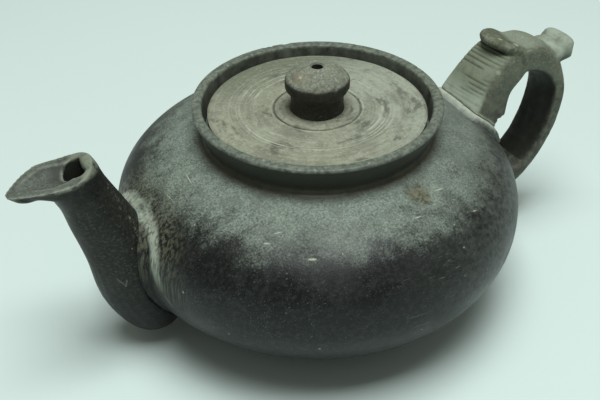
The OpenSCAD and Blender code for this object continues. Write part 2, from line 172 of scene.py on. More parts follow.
class Bench:
    """Blender's operators, used as by hand on one piece at a time."""

    @staticmethod
    def clear() -> None:
        """Leaves edit mode and deselects everything."""
        if bpy.context.object is not None and bpy.context.object.mode != "OBJECT":
            bpy.ops.object.mode_set(mode="OBJECT")
        bpy.ops.object.select_all(action="DESELECT")

    @staticmethod
    def pick(piece: Piece, *others: Piece) -> None:
        """Selects a piece, and others with it, and nothing else.

        Args:
            piece: The piece that operators act on.
            others: Pieces that are selected with it.
        """
        Bench.clear()
        for chosen in (piece, *others):
            chosen.select_set(True)
        bpy.context.view_layer.objects.active = piece

    @staticmethod
    @contextmanager
    def editing(piece: Piece) -> Iterator[None]:
        """Opens a piece in edit mode with all of it selected.

        Args:
            piece: The piece to edit.

        Returns:
            A context that goes back to object mode at its end.
        """
        Bench.pick(piece)
        bpy.ops.object.mode_set(mode="EDIT")
        bpy.ops.mesh.select_all(action="SELECT")
        yield
        bpy.ops.object.mode_set(mode="OBJECT")

    @staticmethod
    def modify(piece: Piece, tool: Tool, **settings: object) -> None:
        """Adds a modifier, sets it up and applies it.

        Args:
            piece: The piece to change.
            tool: Kind of modifier.
            settings: Values of the modifier's own properties.
        """
        Bench.pick(piece)
        bpy.ops.object.modifier_add(type=tool.value)
        modifier = piece.modifiers[-1]
        for key, value in settings.items():
            setattr(modifier, key, value)
        bpy.ops.object.modifier_apply(modifier=modifier.name)

    @staticmethod
    def weigh(piece: Piece, shares: list[float], tool: Tool, **settings: object) -> None:
        """Applies a modifier that acts on each point by its share.

        Args:
            piece: The piece to change.
            shares: Share of each point, from 0 to 1.
            tool: Kind of modifier.
            settings: Values of the modifier's own properties.
        """
        group = piece.vertex_groups.new(name="shares")
        for index, share in enumerate(shares):
            if share > 0.0:
                group.add([index], clamp(share), "REPLACE")
        Bench.modify(piece, tool, vertex_group=group.name, **settings)
        piece.vertex_groups.clear()

    @staticmethod
    def turned(name: str, outline: Outline, segments: int) -> Piece:
        """Spins an outline once round the upright axis.

        Args:
            name: Name of the piece.
            outline: Radius and height of each point in metres, from the axis back to it, or closed.
            segments: Number of steps round the axis.

        Returns:
            The closed piece, at the origin.
        """
        Bench.clear()
        bpy.ops.mesh.primitive_plane_add(size=MM, location=ZERO)
        piece = bpy.context.object
        piece.name = name
        with Bench.editing(piece):
            bpy.ops.mesh.merge(type="CENTER")
            bpy.ops.transform.translate(value=(outline[0][0], 0.0, outline[0][1]))
            for (r0, z0), (r1, z1) in zip(outline, outline[1:]):
                step = (r1 - r0, 0.0, z1 - z0)
                bpy.ops.mesh.extrude_region_move(TRANSFORM_OT_translate={"value": step})
            bpy.ops.mesh.select_all(action="SELECT")
            bpy.ops.mesh.spin(steps=segments, angle=2.0 * math.pi, center=ZERO, axis=(0.0, 0.0, 1.0))
            bpy.ops.mesh.select_all(action="SELECT")
            bpy.ops.mesh.remove_doubles(threshold=MERGE_GAP)
            bpy.ops.mesh.normals_make_consistent(inside=False)
        return piece

    @staticmethod
    def copied(name: str, node: str) -> Piece:
        """Makes a copy of a CAD node whose points are merged.

        Args:
            name: Name of the piece.
            node: Name of the CAD node.

        Returns:
            The piece, at the origin.
        """
        piece = bpy.data.objects.new(name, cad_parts[node].data.copy())
        piece.data.materials.clear()
        bpy.context.collection.objects.link(piece)
        with Bench.editing(piece):
            bpy.ops.mesh.remove_doubles(threshold=MERGE_GAP)
        return piece

    @staticmethod
    def lump(size: Vector, place: Vector, turn: float = 0.0) -> Piece:
        """Adds an egg-shaped lump to be joined to a piece or cut from it.

        Args:
            size: Length along X, Y and Z in metres.
            place: Middle of the lump in metres.
            turn: Turn about Y in radians.

        Returns:
            The lump, with its place in its mesh.
        """
        Bench.clear()
        bpy.ops.mesh.primitive_uv_sphere_add(segments=24, ring_count=16, radius=0.5, location=ZERO)
        lump = bpy.context.object
        with Bench.editing(lump):
            bpy.ops.transform.resize(value=tuple(size))
        lump.data.transform(Matrix.Translation(place) @ Matrix.Rotation(turn, 4, "Y"))
        return lump

    @staticmethod
    def join(piece: Piece, *others: Piece) -> None:
        """Joins other meshes into a piece."""
        Bench.pick(piece, *others)
        bpy.ops.object.join()

    @staticmethod
    def cut(piece: Piece, cutter: Piece) -> None:
        """Takes a cutter out of a piece.

        Args:
            piece: The piece to cut.
            cutter: A closed piece, which is deleted afterwards.
        """
        Bench.modify(piece, Tool.BOOLEAN, operation="DIFFERENCE", object=cutter, solver="EXACT")
        Bench.pick(cutter)
        bpy.ops.object.delete()

    @staticmethod
    def smooth(piece: Piece, rounds: int) -> None:
        """Smooths a whole piece."""
        Bench.modify(piece, Tool.SMOOTH, factor=SMOOTH_SHARE, iterations=rounds)

    @staticmethod
    def even(piece: Piece, voxel: float, rounds: int) -> None:
        """Meshes a closed piece anew with faces of one size in metres, and smooths their steps."""
        Bench.modify(piece, Tool.REMESH, mode="VOXEL", voxel_size=voxel)
        Bench.smooth(piece, rounds)

    @staticmethod
    def judge(piece: Piece, rule: Rule) -> list[float]:
        """Gives a rule's answer for each point of a piece and its normal."""
        return [rule(vertex.co, vertex.normal) for vertex in piece.data.vertices]

    @staticmethod
    def gaps(piece: Piece, other: Piece, reach: float) -> list[float]:
        """Measures the way from each point of a piece to the nearest face of another.

        Args:
            piece: The piece whose points are measured.
            other: The other piece.
            reach: Longest way in metres that counts.

        Returns:
            The way from each point in metres, at most the reach.
        """
        faces = [face.vertices for face in other.data.polygons]
        tree = BVHTree.FromPolygons([vertex.co for vertex in other.data.vertices], faces)
        found = [tree.find_nearest(vertex.co, reach)[3] for vertex in piece.data.vertices]
        return [reach if gap is None else gap for gap in found]

    @staticmethod
    def relief(piece: Piece, rounds: int) -> list[float]:
        """Measures how far each point stands out from the mean of its surroundings.

        Args:
            piece: An evenly meshed piece.
            rounds: Rounds of averaging, which set how wide the surroundings are.

        Returns:
            The height of each point in metres, above 0 on arrises and below 0 in hollows.
        """
        mesh = piece.data
        count = len(mesh.vertices)
        at, up = np.empty(3 * count), np.empty(3 * count)
        mesh.vertices.foreach_get("co", at)
        mesh.vertices.foreach_get("normal", up)
        at, up = at.reshape(-1, 3), up.reshape(-1, 3)
        ends = np.empty(2 * len(mesh.edges), dtype=np.int32)
        mesh.edges.foreach_get("vertices", ends)
        here = np.concatenate((ends[0::2], ends[1::2]))
        there = np.concatenate((ends[1::2], ends[0::2]))
        number = np.maximum(np.bincount(here, minlength=count), 1)
        mean = at.copy()
        for _ in range(rounds):
            mean = np.stack([np.bincount(here, mean[there, k], count) / number for k in range(3)], axis=1)
        return ((at - mean) * up).sum(axis=1).tolist()

    @staticmethod
    def mark(piece: Piece, mark: Mark, values: list[float], unit: float = 1.0) -> None:
        """Stores one number for each point of a piece, counted in a unit."""
        layer = piece.data.attributes.new(mark.value, "FLOAT", "POINT")
        layer.data.foreach_set("value", [value / unit for value in values])

    @staticmethod
    def sink(piece: Piece, depth: float, shares: list[float]) -> None:
        """Sinks each point along its normal by its share of a depth in metres."""
        Bench.weigh(piece, shares, Tool.DISPLACE, strength=-depth, mid_level=0.0)

    @staticmethod
    def carve(piece: Piece, depth: float, rule: Rule) -> None:
        """Sinks each point along its normal by the share of a depth in metres that a rule gives."""
        Bench.sink(piece, depth, Bench.judge(piece, rule))

    @staticmethod
    def soften(piece: Piece, rounds: int, rule: Rule) -> None:
        """Smooths each point by the share that a rule gives."""
        Bench.weigh(piece, Bench.judge(piece, rule), Tool.SMOOTH, factor=SMOOTH_SHARE, iterations=rounds)

    @staticmethod
    def chip(piece: Piece, depth: float, size: float, seed: float) -> None:
        """Rubs a piece's arrises down and breaks small chips out of them.

        Args:
            piece: An evenly meshed piece.
            depth: Depth of the deepest chip in metres.
            size: Size of a chip in metres.
            seed: Shift that gives another pattern.
        """
        arris, broken, rubbed, rounds = (0.05 * MM, 0.2 * MM), (0.5, 0.8), 0.25, 10
        shares = [
            ease(height, *arris) * (rubbed + (1.0 - rubbed) * ease(ripple(vertex.co, size, seed), *broken))
            for vertex, height in zip(piece.data.vertices, Bench.relief(piece, rounds))
        ]
        Bench.sink(piece, depth, shares)

    @staticmethod
    def settle(piece: Piece, onto: Piece, reach: float, depth: float) -> None:
        """Lets a piece's thin edges run out under the surface of what carries it.

        Args:
            piece: The piece with thin edges.
            onto: The piece that carries it.
            reach: Thickness in metres below which an edge sinks.
            depth: How far it sinks, in metres.
        """
        shares = [1.0 - ease(gap, 0.25 * reach, reach) for gap in Bench.gaps(piece, onto, reach)]
        Bench.weigh(piece, shares, Tool.SHRINKWRAP, target=onto, offset=-depth,
                    wrap_method="NEAREST_SURFACEPOINT", wrap_mode="ABOVE_SURFACE")

    @staticmethod
    def finish(piece: Piece, body: Body, slot: Slot, nodes: tuple[str, ...]) -> None:
        """Shades a piece smoothly and ties it to the frame.

        Args:
            piece: The finished piece.
            body: Body that it rides on.
            slot: Material slot that its finish belongs to, which is not used.
            nodes: CAD nodes that it stands for.
        """
        Bench.pick(piece)
        bpy.ops.object.shade_smooth_by_angle(angle=SMOOTH_ANGLE)
        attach(piece, body.value)
        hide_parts(*nodes)
        LOG.info("%s stands for %s, %d faces", piece.name, ", ".join(nodes), len(piece.data.polygons))


class Sheet:
    """A node tree that is laid out one node at a time."""

    def __init__(self, tree: Tree) -> None:
        """Keeps the tree and empties it."""
        self.tree = tree
        self.tree.nodes.clear()

    @cached_property
    def place(self) -> Socket:
        """The point on the piece."""
        return self.add("ShaderNodeTexCoord").outputs["Object"]

    @cached_property
    def xyz(self) -> tuple[Socket, ...]:
        """The three numbers of the point on the piece."""
        return self.parts(self.place)

    @cached_property
    def normal(self) -> Socket:
        """The way that the surface faces."""
        return self.add("ShaderNodeNewGeometry").outputs["Normal"]

    @cached_property
    def level(self) -> Socket:
        """The way from the upright axis to the point, as a level vector."""
        return self.joined(self.xyz[0], self.xyz[1], 0.0)

    @cached_property
    def radius(self) -> Socket:
        """The distance of the point from the upright axis."""
        return self.measure("LENGTH", self.level)

    def add(self, kind: str, plugs: Plugs | None = None, **settings: object) -> bpy.types.Node:
        """Adds a node.

        Args:
            kind: The node's type.
            plugs: Values or sockets for its inputs, by name or number.
            settings: Values of the node's own properties.

        Returns:
            The node.
        """
        node = self.tree.nodes.new(kind)
        for key, value in settings.items():
            setattr(node, key, value)
        for key, value in (plugs or {}).items():
            self.plug(node.inputs[key], value)
        return node

    def plug(self, socket: Socket, value: Plug) -> None:
        """Links a socket to another one, or sets its value.

        Args:
            socket: An input.
            value: An output, a number, a vector or a colour.
        """
        if isinstance(value, Socket):
            self.tree.links.new(value, socket)
        else:
            socket.default_value = (*value, 1.0) if socket.type == "RGBA" else value

    def math(self, operation: str, a: Plug, b: Plug = 0.0) -> Socket:
        """Works out a number from two others, held between 0 and 1."""
        return self.add("ShaderNodeMath", {0: a, 1: b}, operation=operation, use_clamp=True).outputs[0]

    def number(self, operation: str, a: Plug, b: Plug = 0.0) -> Socket:
        """Works out a number from two others, without limits."""
        return self.add("ShaderNodeMath", {0: a, 1: b}, operation=operation).outputs[0]

    def measure(self, operation: str, a: Plug, b: Plug = ZERO) -> Socket:
        """Works out a number from two vectors."""
        return self.add("ShaderNodeVectorMath", {0: a, 1: b}, operation=operation).outputs["Value"]

    def times(self, first: Plug, *others: Plug) -> Plug:
        """Multiplies masks.

        Args:
            first: First mask.
            others: The other masks or shares.

        Returns:
            Their product.
        """
        for other in others:
            first = self.math("MULTIPLY", first, other)
        return first

    def span(self, value: Plug, low: Plug, high: Plug, to: Span = (0.0, 1.0)) -> Socket:
        """Maps a value smoothly from the span between low and high to another one."""
        plugs = {"Value": value, "From Min": low, "From Max": high, "To Min": to[0], "To Max": to[1]}
        return self.add("ShaderNodeMapRange", plugs, interpolation_type="SMOOTHSTEP").outputs[0]

    def blend(self, share: Plug, a: Plug, b: Plug, kind: str = "RGBA") -> Socket:
        """Mixes two colours or vectors.

        Args:
            share: Share of the second one.
            a: The first one.
            b: The second one.
            kind: RGBA for colours, VECTOR for vectors.

        Returns:
            The mixture.
        """
        node = self.add("ShaderNodeMix", {"Factor": share}, data_type=kind)
        ends = [socket for socket in node.inputs if socket.type == kind and socket.name in ("A", "B")]
        for socket, value in zip(ends, (a, b)):
            self.plug(socket, value)
        return next(socket for socket in node.outputs if socket.type == kind)

    def parts(self, vector: Plug) -> tuple[Socket, ...]:
        """Splits a vector into its three numbers."""
        return tuple(self.add("ShaderNodeSeparateXYZ", {0: vector}).outputs)

    def joined(self, x: Plug, y: Plug, z: Plug) -> Socket:
        """Makes a vector of three numbers."""
        return self.add("ShaderNodeCombineXYZ", {0: x, 1: y, 2: z}).outputs[0]

    def noise(self, vector: Plug, scale: Plug, detail: float, roughness: float) -> Socket:
        """Gives noise from about 0.25 to 0.75.

        Args:
            vector: Where it is read.
            scale: Lumps in a metre.
            detail: Number of finer layers.
            roughness: Weight of the finer layers.

        Returns:
            The noise.
        """
        plugs = {"Vector": vector, "Scale": scale, "Detail": detail, "Roughness": roughness}
        return self.add("ShaderNodeTexNoise", plugs).outputs[0]

    def stretched(self, scale: Stretch, turn: Stretch = ZERO) -> Socket:
        """Gives the point on the piece, turned and stretched."""
        plugs = {"Vector": self.place, "Rotation": turn, "Scale": scale}
        return self.add("ShaderNodeMapping", plugs).outputs[0]

    def wound(self, out: Plug, around: float) -> Socket:
        """Gives a vector that changes with out, and by a scale with the way round the upright axis."""
        x, y, _ = self.parts(self.stretched((around, around, around)))
        return self.joined(out, x, y)


class Effect(Sheet):
    """A shader node group that is laid out once."""

    def __init__(self, name: str, takes: dict[str, Union[float, Colour]], *gives: str) -> None:
        """Starts the group with its sockets.

        Args:
            name: Name of the group.
            takes: Start value of each input, a number or a colour.
            gives: Names of the outputs, which are numbers apart from Color.
        """
        tree = bpy.data.node_groups.new(name, "ShaderNodeTree")
        super().__init__(tree)
        colours = ["Color"] + [label for label, value in takes.items() if isinstance(value, tuple)]
        for way, labels in (("INPUT", takes), ("OUTPUT", gives)):
            for label in labels:
                kind = "NodeSocketColor" if label in colours else "NodeSocketFloat"
                socket = tree.interface.new_socket(name=label, in_out=way, socket_type=kind)
                if way == "INPUT":
                    socket.default_value = (*takes[label], 1.0) if label in colours else takes[label]
        self.take: dict[str, Socket] = {socket.name: socket for socket in self.add("NodeGroupInput").outputs}
        self.end = self.add("NodeGroupOutput")

    def give(self, label: str, value: Socket) -> Tree:
        """Ends the group in one of its outputs and gives its tree."""
        self.plug(self.end.inputs[label], value)
        return self.tree


class Effects:
    """The node groups that the stones share."""

    def __init__(self) -> None:
        """Builds every group once."""
        self.grain = self._grain()
        self.dust = self._dust()
        self.scratches = self._scratches()
        self.flecks = self._flecks()
        self.turning = self._turning()
        self.specks = self._specks()

    @staticmethod
    def _grain() -> Tree:
        """Clouded stone from a deep tone over a body tone to a bloom, with a fine height."""
        sheet = Effect("clouded_stone", {
            "Deep": ZERO, "Body": ZERO, "Bloom": ZERO,
            "Cloud Scale": 40.0, "Grain Scale": 500.0, "Bloom Amount": 0.4,
        }, "Color", "Height")
        take = sheet.take
        cloud = sheet.noise(sheet.place, take["Cloud Scale"], detail=5.0, roughness=0.62)
        grain = sheet.noise(sheet.place, take["Grain Scale"], detail=6.0, roughness=0.7)
        finer = sheet.number("MULTIPLY", take["Grain Scale"], 4.0)
        speck = sheet.noise(sheet.place, finer, detail=2.0, roughness=0.5)
        tone = sheet.blend(sheet.span(cloud, 0.36, 0.62), take["Deep"], take["Body"])
        bloom = sheet.times(sheet.span(grain, 0.44, 0.66), take["Bloom Amount"])
        sheet.give("Color", sheet.blend(bloom, tone, take["Bloom"]))
        return sheet.give("Height", sheet.math("ADD", sheet.times(grain, 0.65), sheet.times(speck, 0.35)))

    @staticmethod
    def _dust() -> Tree:
        """Dust that lies where the surface faces up, in patches."""
        takes = {"Start": 0.5, "Full": 0.9, "Patch Scale": 60.0, "Amount": 1.0}
        sheet = Effect("settled_dust", takes, "Mask")
        take = sheet.take
        patch = sheet.noise(sheet.place, take["Patch Scale"], detail=7.0, roughness=0.68)
        grain = sheet.noise(sheet.place, 1500.0, detail=4.0, roughness=0.7)
        coarse, fine = sheet.number("MULTIPLY", patch, 0.4), sheet.number("MULTIPLY", grain, 0.36)
        spread = sheet.number("ADD", coarse, fine)
        uneven = sheet.number("ADD", sheet.parts(sheet.normal)[2], sheet.number("SUBTRACT", spread, 0.38))
        lies = sheet.span(uneven, take["Start"], take["Full"])
        dots = sheet.noise(sheet.place, 1300.0, detail=4.0, roughness=0.75)
        dotted = sheet.span(dots, 0.36, 0.62, (0.42, 1.0))
        return sheet.give("Mask", sheet.times(lies, dotted, take["Amount"]))

    @staticmethod
    def _scratches() -> Tree:
        """Fine pale scratches in three directions."""
        sheet = Effect("hair_scratches", {"Amount": 0.5, "Spread": 30.0}, "Mask")
        found: Plug = 0.0
        for turn in ((0.3, 0.2, 0.1), (1.1, 0.5, 0.9), (0.1, 1.3, 2.2)):
            long_way = sheet.stretched((70.0, 1500.0, 1500.0), turn)
            line = sheet.span(sheet.noise(long_way, 1.0, detail=2.0, roughness=0.5), 0.66, 0.80)
            found = sheet.math("MAXIMUM", line, found)
        spread = sheet.noise(sheet.place, sheet.take["Spread"], detail=3.0, roughness=0.6)
        return sheet.give("Mask", sheet.times(found, sheet.span(spread, 0.45, 0.62), sheet.take["Amount"]))

    @staticmethod
    def _flecks() -> Tree:
        """Scattered pale flecks and pits."""
        sheet = Effect("pale_flecks", {"Scale": 420.0, "Share": 0.1, "Size": 0.2}, "Mask")
        take = sheet.take
        wobble = sheet.add("ShaderNodeTexNoise", {"Vector": sheet.place, "Scale": 600.0, "Detail": 2.0})
        shifted = sheet.blend(0.0012, sheet.place, wobble.outputs["Color"], "VECTOR")
        cells = sheet.add("ShaderNodeTexVoronoi", {"Vector": shifted, "Scale": take["Scale"]}).outputs
        chosen = sheet.math("LESS_THAN", sheet.parts(cells["Color"])[0], take["Share"])
        spot = sheet.span(cells["Distance"], take["Size"], sheet.number("MULTIPLY", take["Size"], 0.5))
        return sheet.give("Mask", sheet.times(chosen, spot))

    @staticmethod
    def _specks() -> Tree:
        """Fine pale and dark specks of the stone's grain."""
        sheet = Effect("grain_specks", {"Scale": 1700.0, "Amount": 0.5}, "Pale", "Dark")
        grain = sheet.noise(sheet.place, sheet.take["Scale"], detail=3.0, roughness=0.65)
        cloud = sheet.noise(sheet.place, 120.0, detail=4.0, roughness=0.6)
        amount = sheet.times(sheet.take["Amount"], sheet.span(cloud, 0.35, 0.62, (0.25, 1.0)))
        sheet.give("Pale", sheet.times(sheet.span(grain, 0.54, 0.70), amount))
        return sheet.give("Dark", sheet.times(sheet.span(grain, 0.47, 0.33), amount))

    @staticmethod
    def _turning() -> Tree:
        """Fine rings left by turning about the upright axis."""
        sheet = Effect("turning_rings", {"Rings": 900.0, "Break": 25.0}, "Height")
        along = sheet.number("ADD", sheet.radius, sheet.number("MULTIPLY", sheet.xyz[2], 0.7))
        rings = sheet.noise(sheet.wound(along, 0.04), sheet.take["Rings"], detail=3.0, roughness=0.65)
        gaps = sheet.noise(sheet.place, sheet.take["Break"], detail=3.0, roughness=0.6)
        return sheet.give("Height", sheet.times(rings, sheet.span(gaps, 0.35, 0.6, (0.35, 1.0))))


@dataclass(frozen=True)
class StoneTones:
    """Tones and wear of one stone.

    The colours are linear. Amounts run from 0 to 1, and scales count lumps in a metre.
    """

    deep: Colour
    body: Colour
    bloom: Colour
    dust: Colour
    dust_start: float
    dust_full: float
    dust_amount: float
    cloud_scale: float = 45.0
    grain_scale: float = 520.0
    patch_scale: float = 80.0
    bloom_amount: float = 0.35
    scratch_amount: float = 0.4
    fleck_share: float = 0.025
    speck_amount: float = 0.6
    rough: Span = (0.38, 0.62)
    specular: float = 0.35
    bump: float = 0.25


@dataclass(frozen=True)
class Patches:
    """Ragged patches of noise.

    The scale counts patches in a metre. The mask goes from least, where the noise is at start, to most,
    where it is at full.
    """

    scale: float
    start: float
    full: float
    least: float = 0.0
    most: float = 1.0


@dataclass(frozen=True)
class Coat:
    """A layer of colour on a stone, with the patches that it comes in.

    The colour is linear, and the strength runs from 0 to 1. The coat fades in from the first number to the
    second along x and z, in millimetres, and over a mark. A mark without a span is itself the coat's share.
    """

    colour: Colour
    strength: float = 1.0
    patches: tuple[Patches, ...] = ()
    x: Span | None = None
    z: Span | None = None
    mark: Mark | None = None
    marked: Span | None = None


DARK_STONE = StoneTones(
    deep=(0.0075, 0.0082, 0.0078), body=(0.0155, 0.0168, 0.016), bloom=(0.05, 0.055, 0.051),
    dust=(0.282, 0.338, 0.282), dust_start=0.76, dust_full=1.0, dust_amount=0.97, patch_scale=120.0,
    fleck_share=0.014, rough=(0.34, 0.52), specular=0.27,
)
SPOUT_STONE = StoneTones(
    deep=(0.007, 0.0075, 0.0065), body=(0.014, 0.0145, 0.0125), bloom=(0.042, 0.044, 0.037),
    dust=(0.17, 0.195, 0.162), dust_start=0.5, dust_full=1.0, dust_amount=0.8, patch_scale=170.0,
    scratch_amount=0.3, fleck_share=0.04, rough=(0.42, 0.6), specular=0.25,
)
GREY_STONE = StoneTones(
    deep=(0.085, 0.092, 0.064), body=(0.145, 0.158, 0.112), bloom=(0.23, 0.25, 0.185),
    dust=(0.25, 0.285, 0.22), dust_start=0.55, dust_full=1.0, dust_amount=0.85, cloud_scale=110.0,
    patch_scale=150.0, bloom_amount=0.5, rough=(0.5, 0.75),
)
PALE_STONE = StoneTones(
    deep=(0.172, 0.178, 0.124), body=(0.245, 0.252, 0.183), bloom=(0.325, 0.336, 0.259),
    dust=(0.355, 0.375, 0.30), dust_start=0.7, dust_full=1.1, dust_amount=0.35, cloud_scale=110.0,
    grain_scale=420.0, bloom_amount=0.6, scratch_amount=0.2, rough=(0.65, 0.85), specular=0.25, bump=0.35,
)
KNOB_STONE = StoneTones(
    deep=(0.012, 0.012, 0.009), body=(0.028, 0.028, 0.021), bloom=(0.06, 0.058, 0.043),
    dust=(0.28, 0.298, 0.232), dust_start=0.35, dust_full=0.9, dust_amount=0.95, cloud_scale=150.0,
    grain_scale=700.0, patch_scale=260.0, fleck_share=0.08, rough=(0.5, 0.75),
)
SMEARED_FILLER = replace(DARK_STONE, rough=(0.5, 0.7))
ROOT_FILLER = StoneTones(
    deep=(0.06, 0.068, 0.058), body=(0.12, 0.135, 0.117), bloom=(0.20, 0.223, 0.19),
    dust=(0.245, 0.28, 0.24), dust_start=0.45, dust_full=0.95, dust_amount=0.7, patch_scale=150.0,
    rough=(0.55, 0.75),
)


class StoneFinish(Sheet):
    """A stone material that is built up in layers on its tones."""

    def __init__(self, name: str, tones: StoneTones, effects: Effects) -> None:
        """Starts the material with clouded stone and lays dust, scratches, flecks and specks over it.

        Args:
            name: Name of the material.
            tones: Its tones and wear.
            effects: The shared node groups.
        """
        self.material = bpy.data.materials.new(name)
        self.material.use_nodes = True
        super().__init__(self.material.node_tree)
        self.tones = tones
        self.effects = effects
        grain = self.group(effects.grain, {
            "Deep": tones.deep, "Body": tones.body, "Bloom": tones.bloom, "Cloud Scale": tones.cloud_scale,
            "Grain Scale": tones.grain_scale, "Bloom Amount": tones.bloom_amount,
        })
        self.colour, self.height = grain["Color"], grain["Height"]
        self.dusty = self.group(effects.dust, {
            "Start": tones.dust_start, "Full": tones.dust_full, "Amount": tones.dust_amount,
            "Patch Scale": tones.patch_scale,
        })["Mask"]
        clouds = self.noise(self.place, tones.cloud_scale, detail=5.0, roughness=0.6)
        rough = self.span(clouds, 0.35, 0.65, tones.rough)
        self.rough = self.math("ADD", rough, self.times(self.dusty, 0.25))
        self._weather()

    def _weather(self) -> None:
        """Lays the dust, the scratches, the flecks and the specks over the stone."""
        tones = self.tones
        specks = self.group(self.effects.specks, {"Amount": tones.speck_amount})
        scratches = self.group(self.effects.scratches, {"Amount": tones.scratch_amount})
        flecks = self.group(self.effects.flecks, {"Share": tones.fleck_share})
        self.paint(specks["Pale"], tuple(1.6 * part for part in tones.bloom))
        self.paint(self.dusty, tones.dust)
        self.paint(self.times(specks["Dark"], self.dusty), tones.body)
        self.paint(scratches["Mask"], tones.dust)
        self.paint(self.times(flecks["Mask"], 0.7), tuple(1.3 * part for part in tones.dust))

    def group(self, tree: Tree, plugs: Plugs) -> dict[str, Socket]:
        """Places a shared effect in the material and gives its outputs by name."""
        node = self.add("ShaderNodeGroup", plugs, node_tree=tree)
        return {socket.name: socket for socket in node.outputs}

    def paint(self, mask: Plug, colour: Plug) -> None:
        """Lays a colour over the stone through a mask."""
        self.colour = self.blend(mask, self.colour, colour)

    def coat(self, coat: Coat, *masks: Plug) -> None:
        """Lays a coat over the stone.

        Args:
            coat: The coat.
            masks: More masks of where it lies.
        """
        x, _, z = self.xyz
        where = list(masks)
        for value, fade in ((x, coat.x), (z, coat.z)):
            if fade is not None:
                where.append(self.span(value, fade[0] * MM, fade[1] * MM))
        if coat.mark is not None:
            value = self.mark(coat.mark)
            where.append(value if coat.marked is None else self.span(value, *coat.marked))
        where += [self.patches(patches) for patches in coat.patches]
        self.paint(self.times(*where, coat.strength), coat.colour)

    def mark(self, mark: Mark) -> Socket:
        """Reads a number that the piece's points carry."""
        return self.add("ShaderNodeAttribute", attribute_name=mark.value).outputs["Fac"]

    def patches(self, patches: Patches) -> Socket:
        """Gives the mask of ragged patches."""
        ragged = self.noise(self.place, patches.scale, detail=6.0, roughness=0.68)
        return self.span(ragged, patches.start, patches.full, (patches.least, patches.most))

    def strokes(self, scale: Stretch, low: float, high: float, turn: Stretch = ZERO) -> Socket:
        """Gives long strokes side by side.

        Args:
            scale: Strokes in a metre along X, Y and Z.
            low: Noise at which a stroke starts.
            high: Noise at which it is full.
            turn: Turn of the strokes in radians.

        Returns:
            The mask of the strokes.
        """
        return self.span(self.noise(self.stretched(scale, turn), 1.0, detail=3.0, roughness=0.6), low, high)

    def ringed(self, across: float, around: float, low: float, high: float) -> Socket:
        """Gives patches that are drawn out round the upright axis.

        Args:
            across: Patches in a metre away from the axis.
            around: Patches in a metre round the axis.
            low: Noise at which a patch starts.
            high: Noise at which it is full.

        Returns:
            The mask of the patches.
        """
        way = self.wound(self.number("MULTIPLY", self.radius, across), around)
        return self.span(self.noise(way, 1.0, detail=4.0, roughness=0.62), low, high)

    def facing(self, way: Plug, low: float, high: float) -> Socket:
        """Gives a mask that fades in as the surface turns to a way, from one cosine to another."""
        return self.span(self.measure("DOT_PRODUCT", self.normal, way), low, high)

    def rise(self, level: float, low: float, high: float) -> Socket:
        """Gives a mask that fades in with height, between two millimetres above a level in metres."""
        return self.span(self.xyz[2], level + low * MM, level + high * MM)

    def near(self, point: Vector, low: float, high: float) -> Socket:
        """Gives a ragged spot round a point.

        Args:
            point: Middle of the spot in metres.
            low: Radius within which the spot is full, in metres.
            high: Radius at which it ends, in metres.

        Returns:
            The mask of the spot.
        """
        raggedness = 1.6 * (high - low)
        ragged = self.noise(self.place, 260.0, detail=5.0, roughness=0.7)
        shift = self.number("SUBTRACT", self.number("MULTIPLY", ragged, raggedness), 0.5 * raggedness)
        edge = self.number("ADD", self.measure("DISTANCE", self.place, tuple(point)), shift)
        return self.span(edge, high, low)

    def nick(self, a: Vector, b: Vector, width: float) -> Socket:
        """Gives a ragged nick along a straight line.

        Args:
            a: First end in metres.
            b: Second end in metres.
            width: Half of its width in metres.

        Returns:
            The mask of the nick.
        """
        way, raggedness, thinning = b - a, 2.4 * width, 3.4 * width
        ends = {0: self.place, 1: tuple(a)}
        from_a = self.add("ShaderNodeVectorMath", ends, operation="SUBTRACT").outputs[0]
        dot = self.measure("DOT_PRODUCT", from_a, tuple(way / way.length_squared))
        share = self.math("ADD", dot, 0.0)
        scaled = {0: tuple(way), "Scale": share}
        along = self.add("ShaderNodeVectorMath", scaled, operation="SCALE").outputs[0]
        ragged = self.noise(self.place, 1300.0, detail=3.0, roughness=0.6)
        shift = self.number("SUBTRACT", self.number("MULTIPLY", ragged, raggedness), 0.5 * raggedness)
        apart = self.number("SUBTRACT", share, 0.5)
        taper = self.number("MULTIPLY", self.number("MULTIPLY", apart, apart), thinning)
        gap = self.number("ADD", self.measure("DISTANCE", from_a, along), taper)
        return self.span(self.number("ADD", gap, shift), width, 0.3 * width)

    def turn_rings(self, rings: float, share: float) -> None:
        """Adds a share of fine turning rings to the height, so many in a metre."""
        height = self.group(self.effects.turning, {"Rings": rings})["Height"]
        self.height = self.math("ADD", self.height, self.times(height, share))

    def close(self, piece: Piece) -> None:
        """Adds the shader with its bump and puts the material on a piece.

        Args:
            piece: The piece.
        """
        bump = self.add("ShaderNodeBump", {
            "Strength": self.tones.bump, "Distance": 0.4 * MM, "Height": self.height,
        })
        shader = self.add("ShaderNodeBsdfPrincipled", {
            "Base Color": self.colour, "Roughness": self.rough, "Normal": bump.outputs[0],
            "Specular IOR Level": self.tones.specular,
        })
        self.add("ShaderNodeOutputMaterial", {"Surface": shader.outputs[0]})
        piece.data.materials.append(self.material)


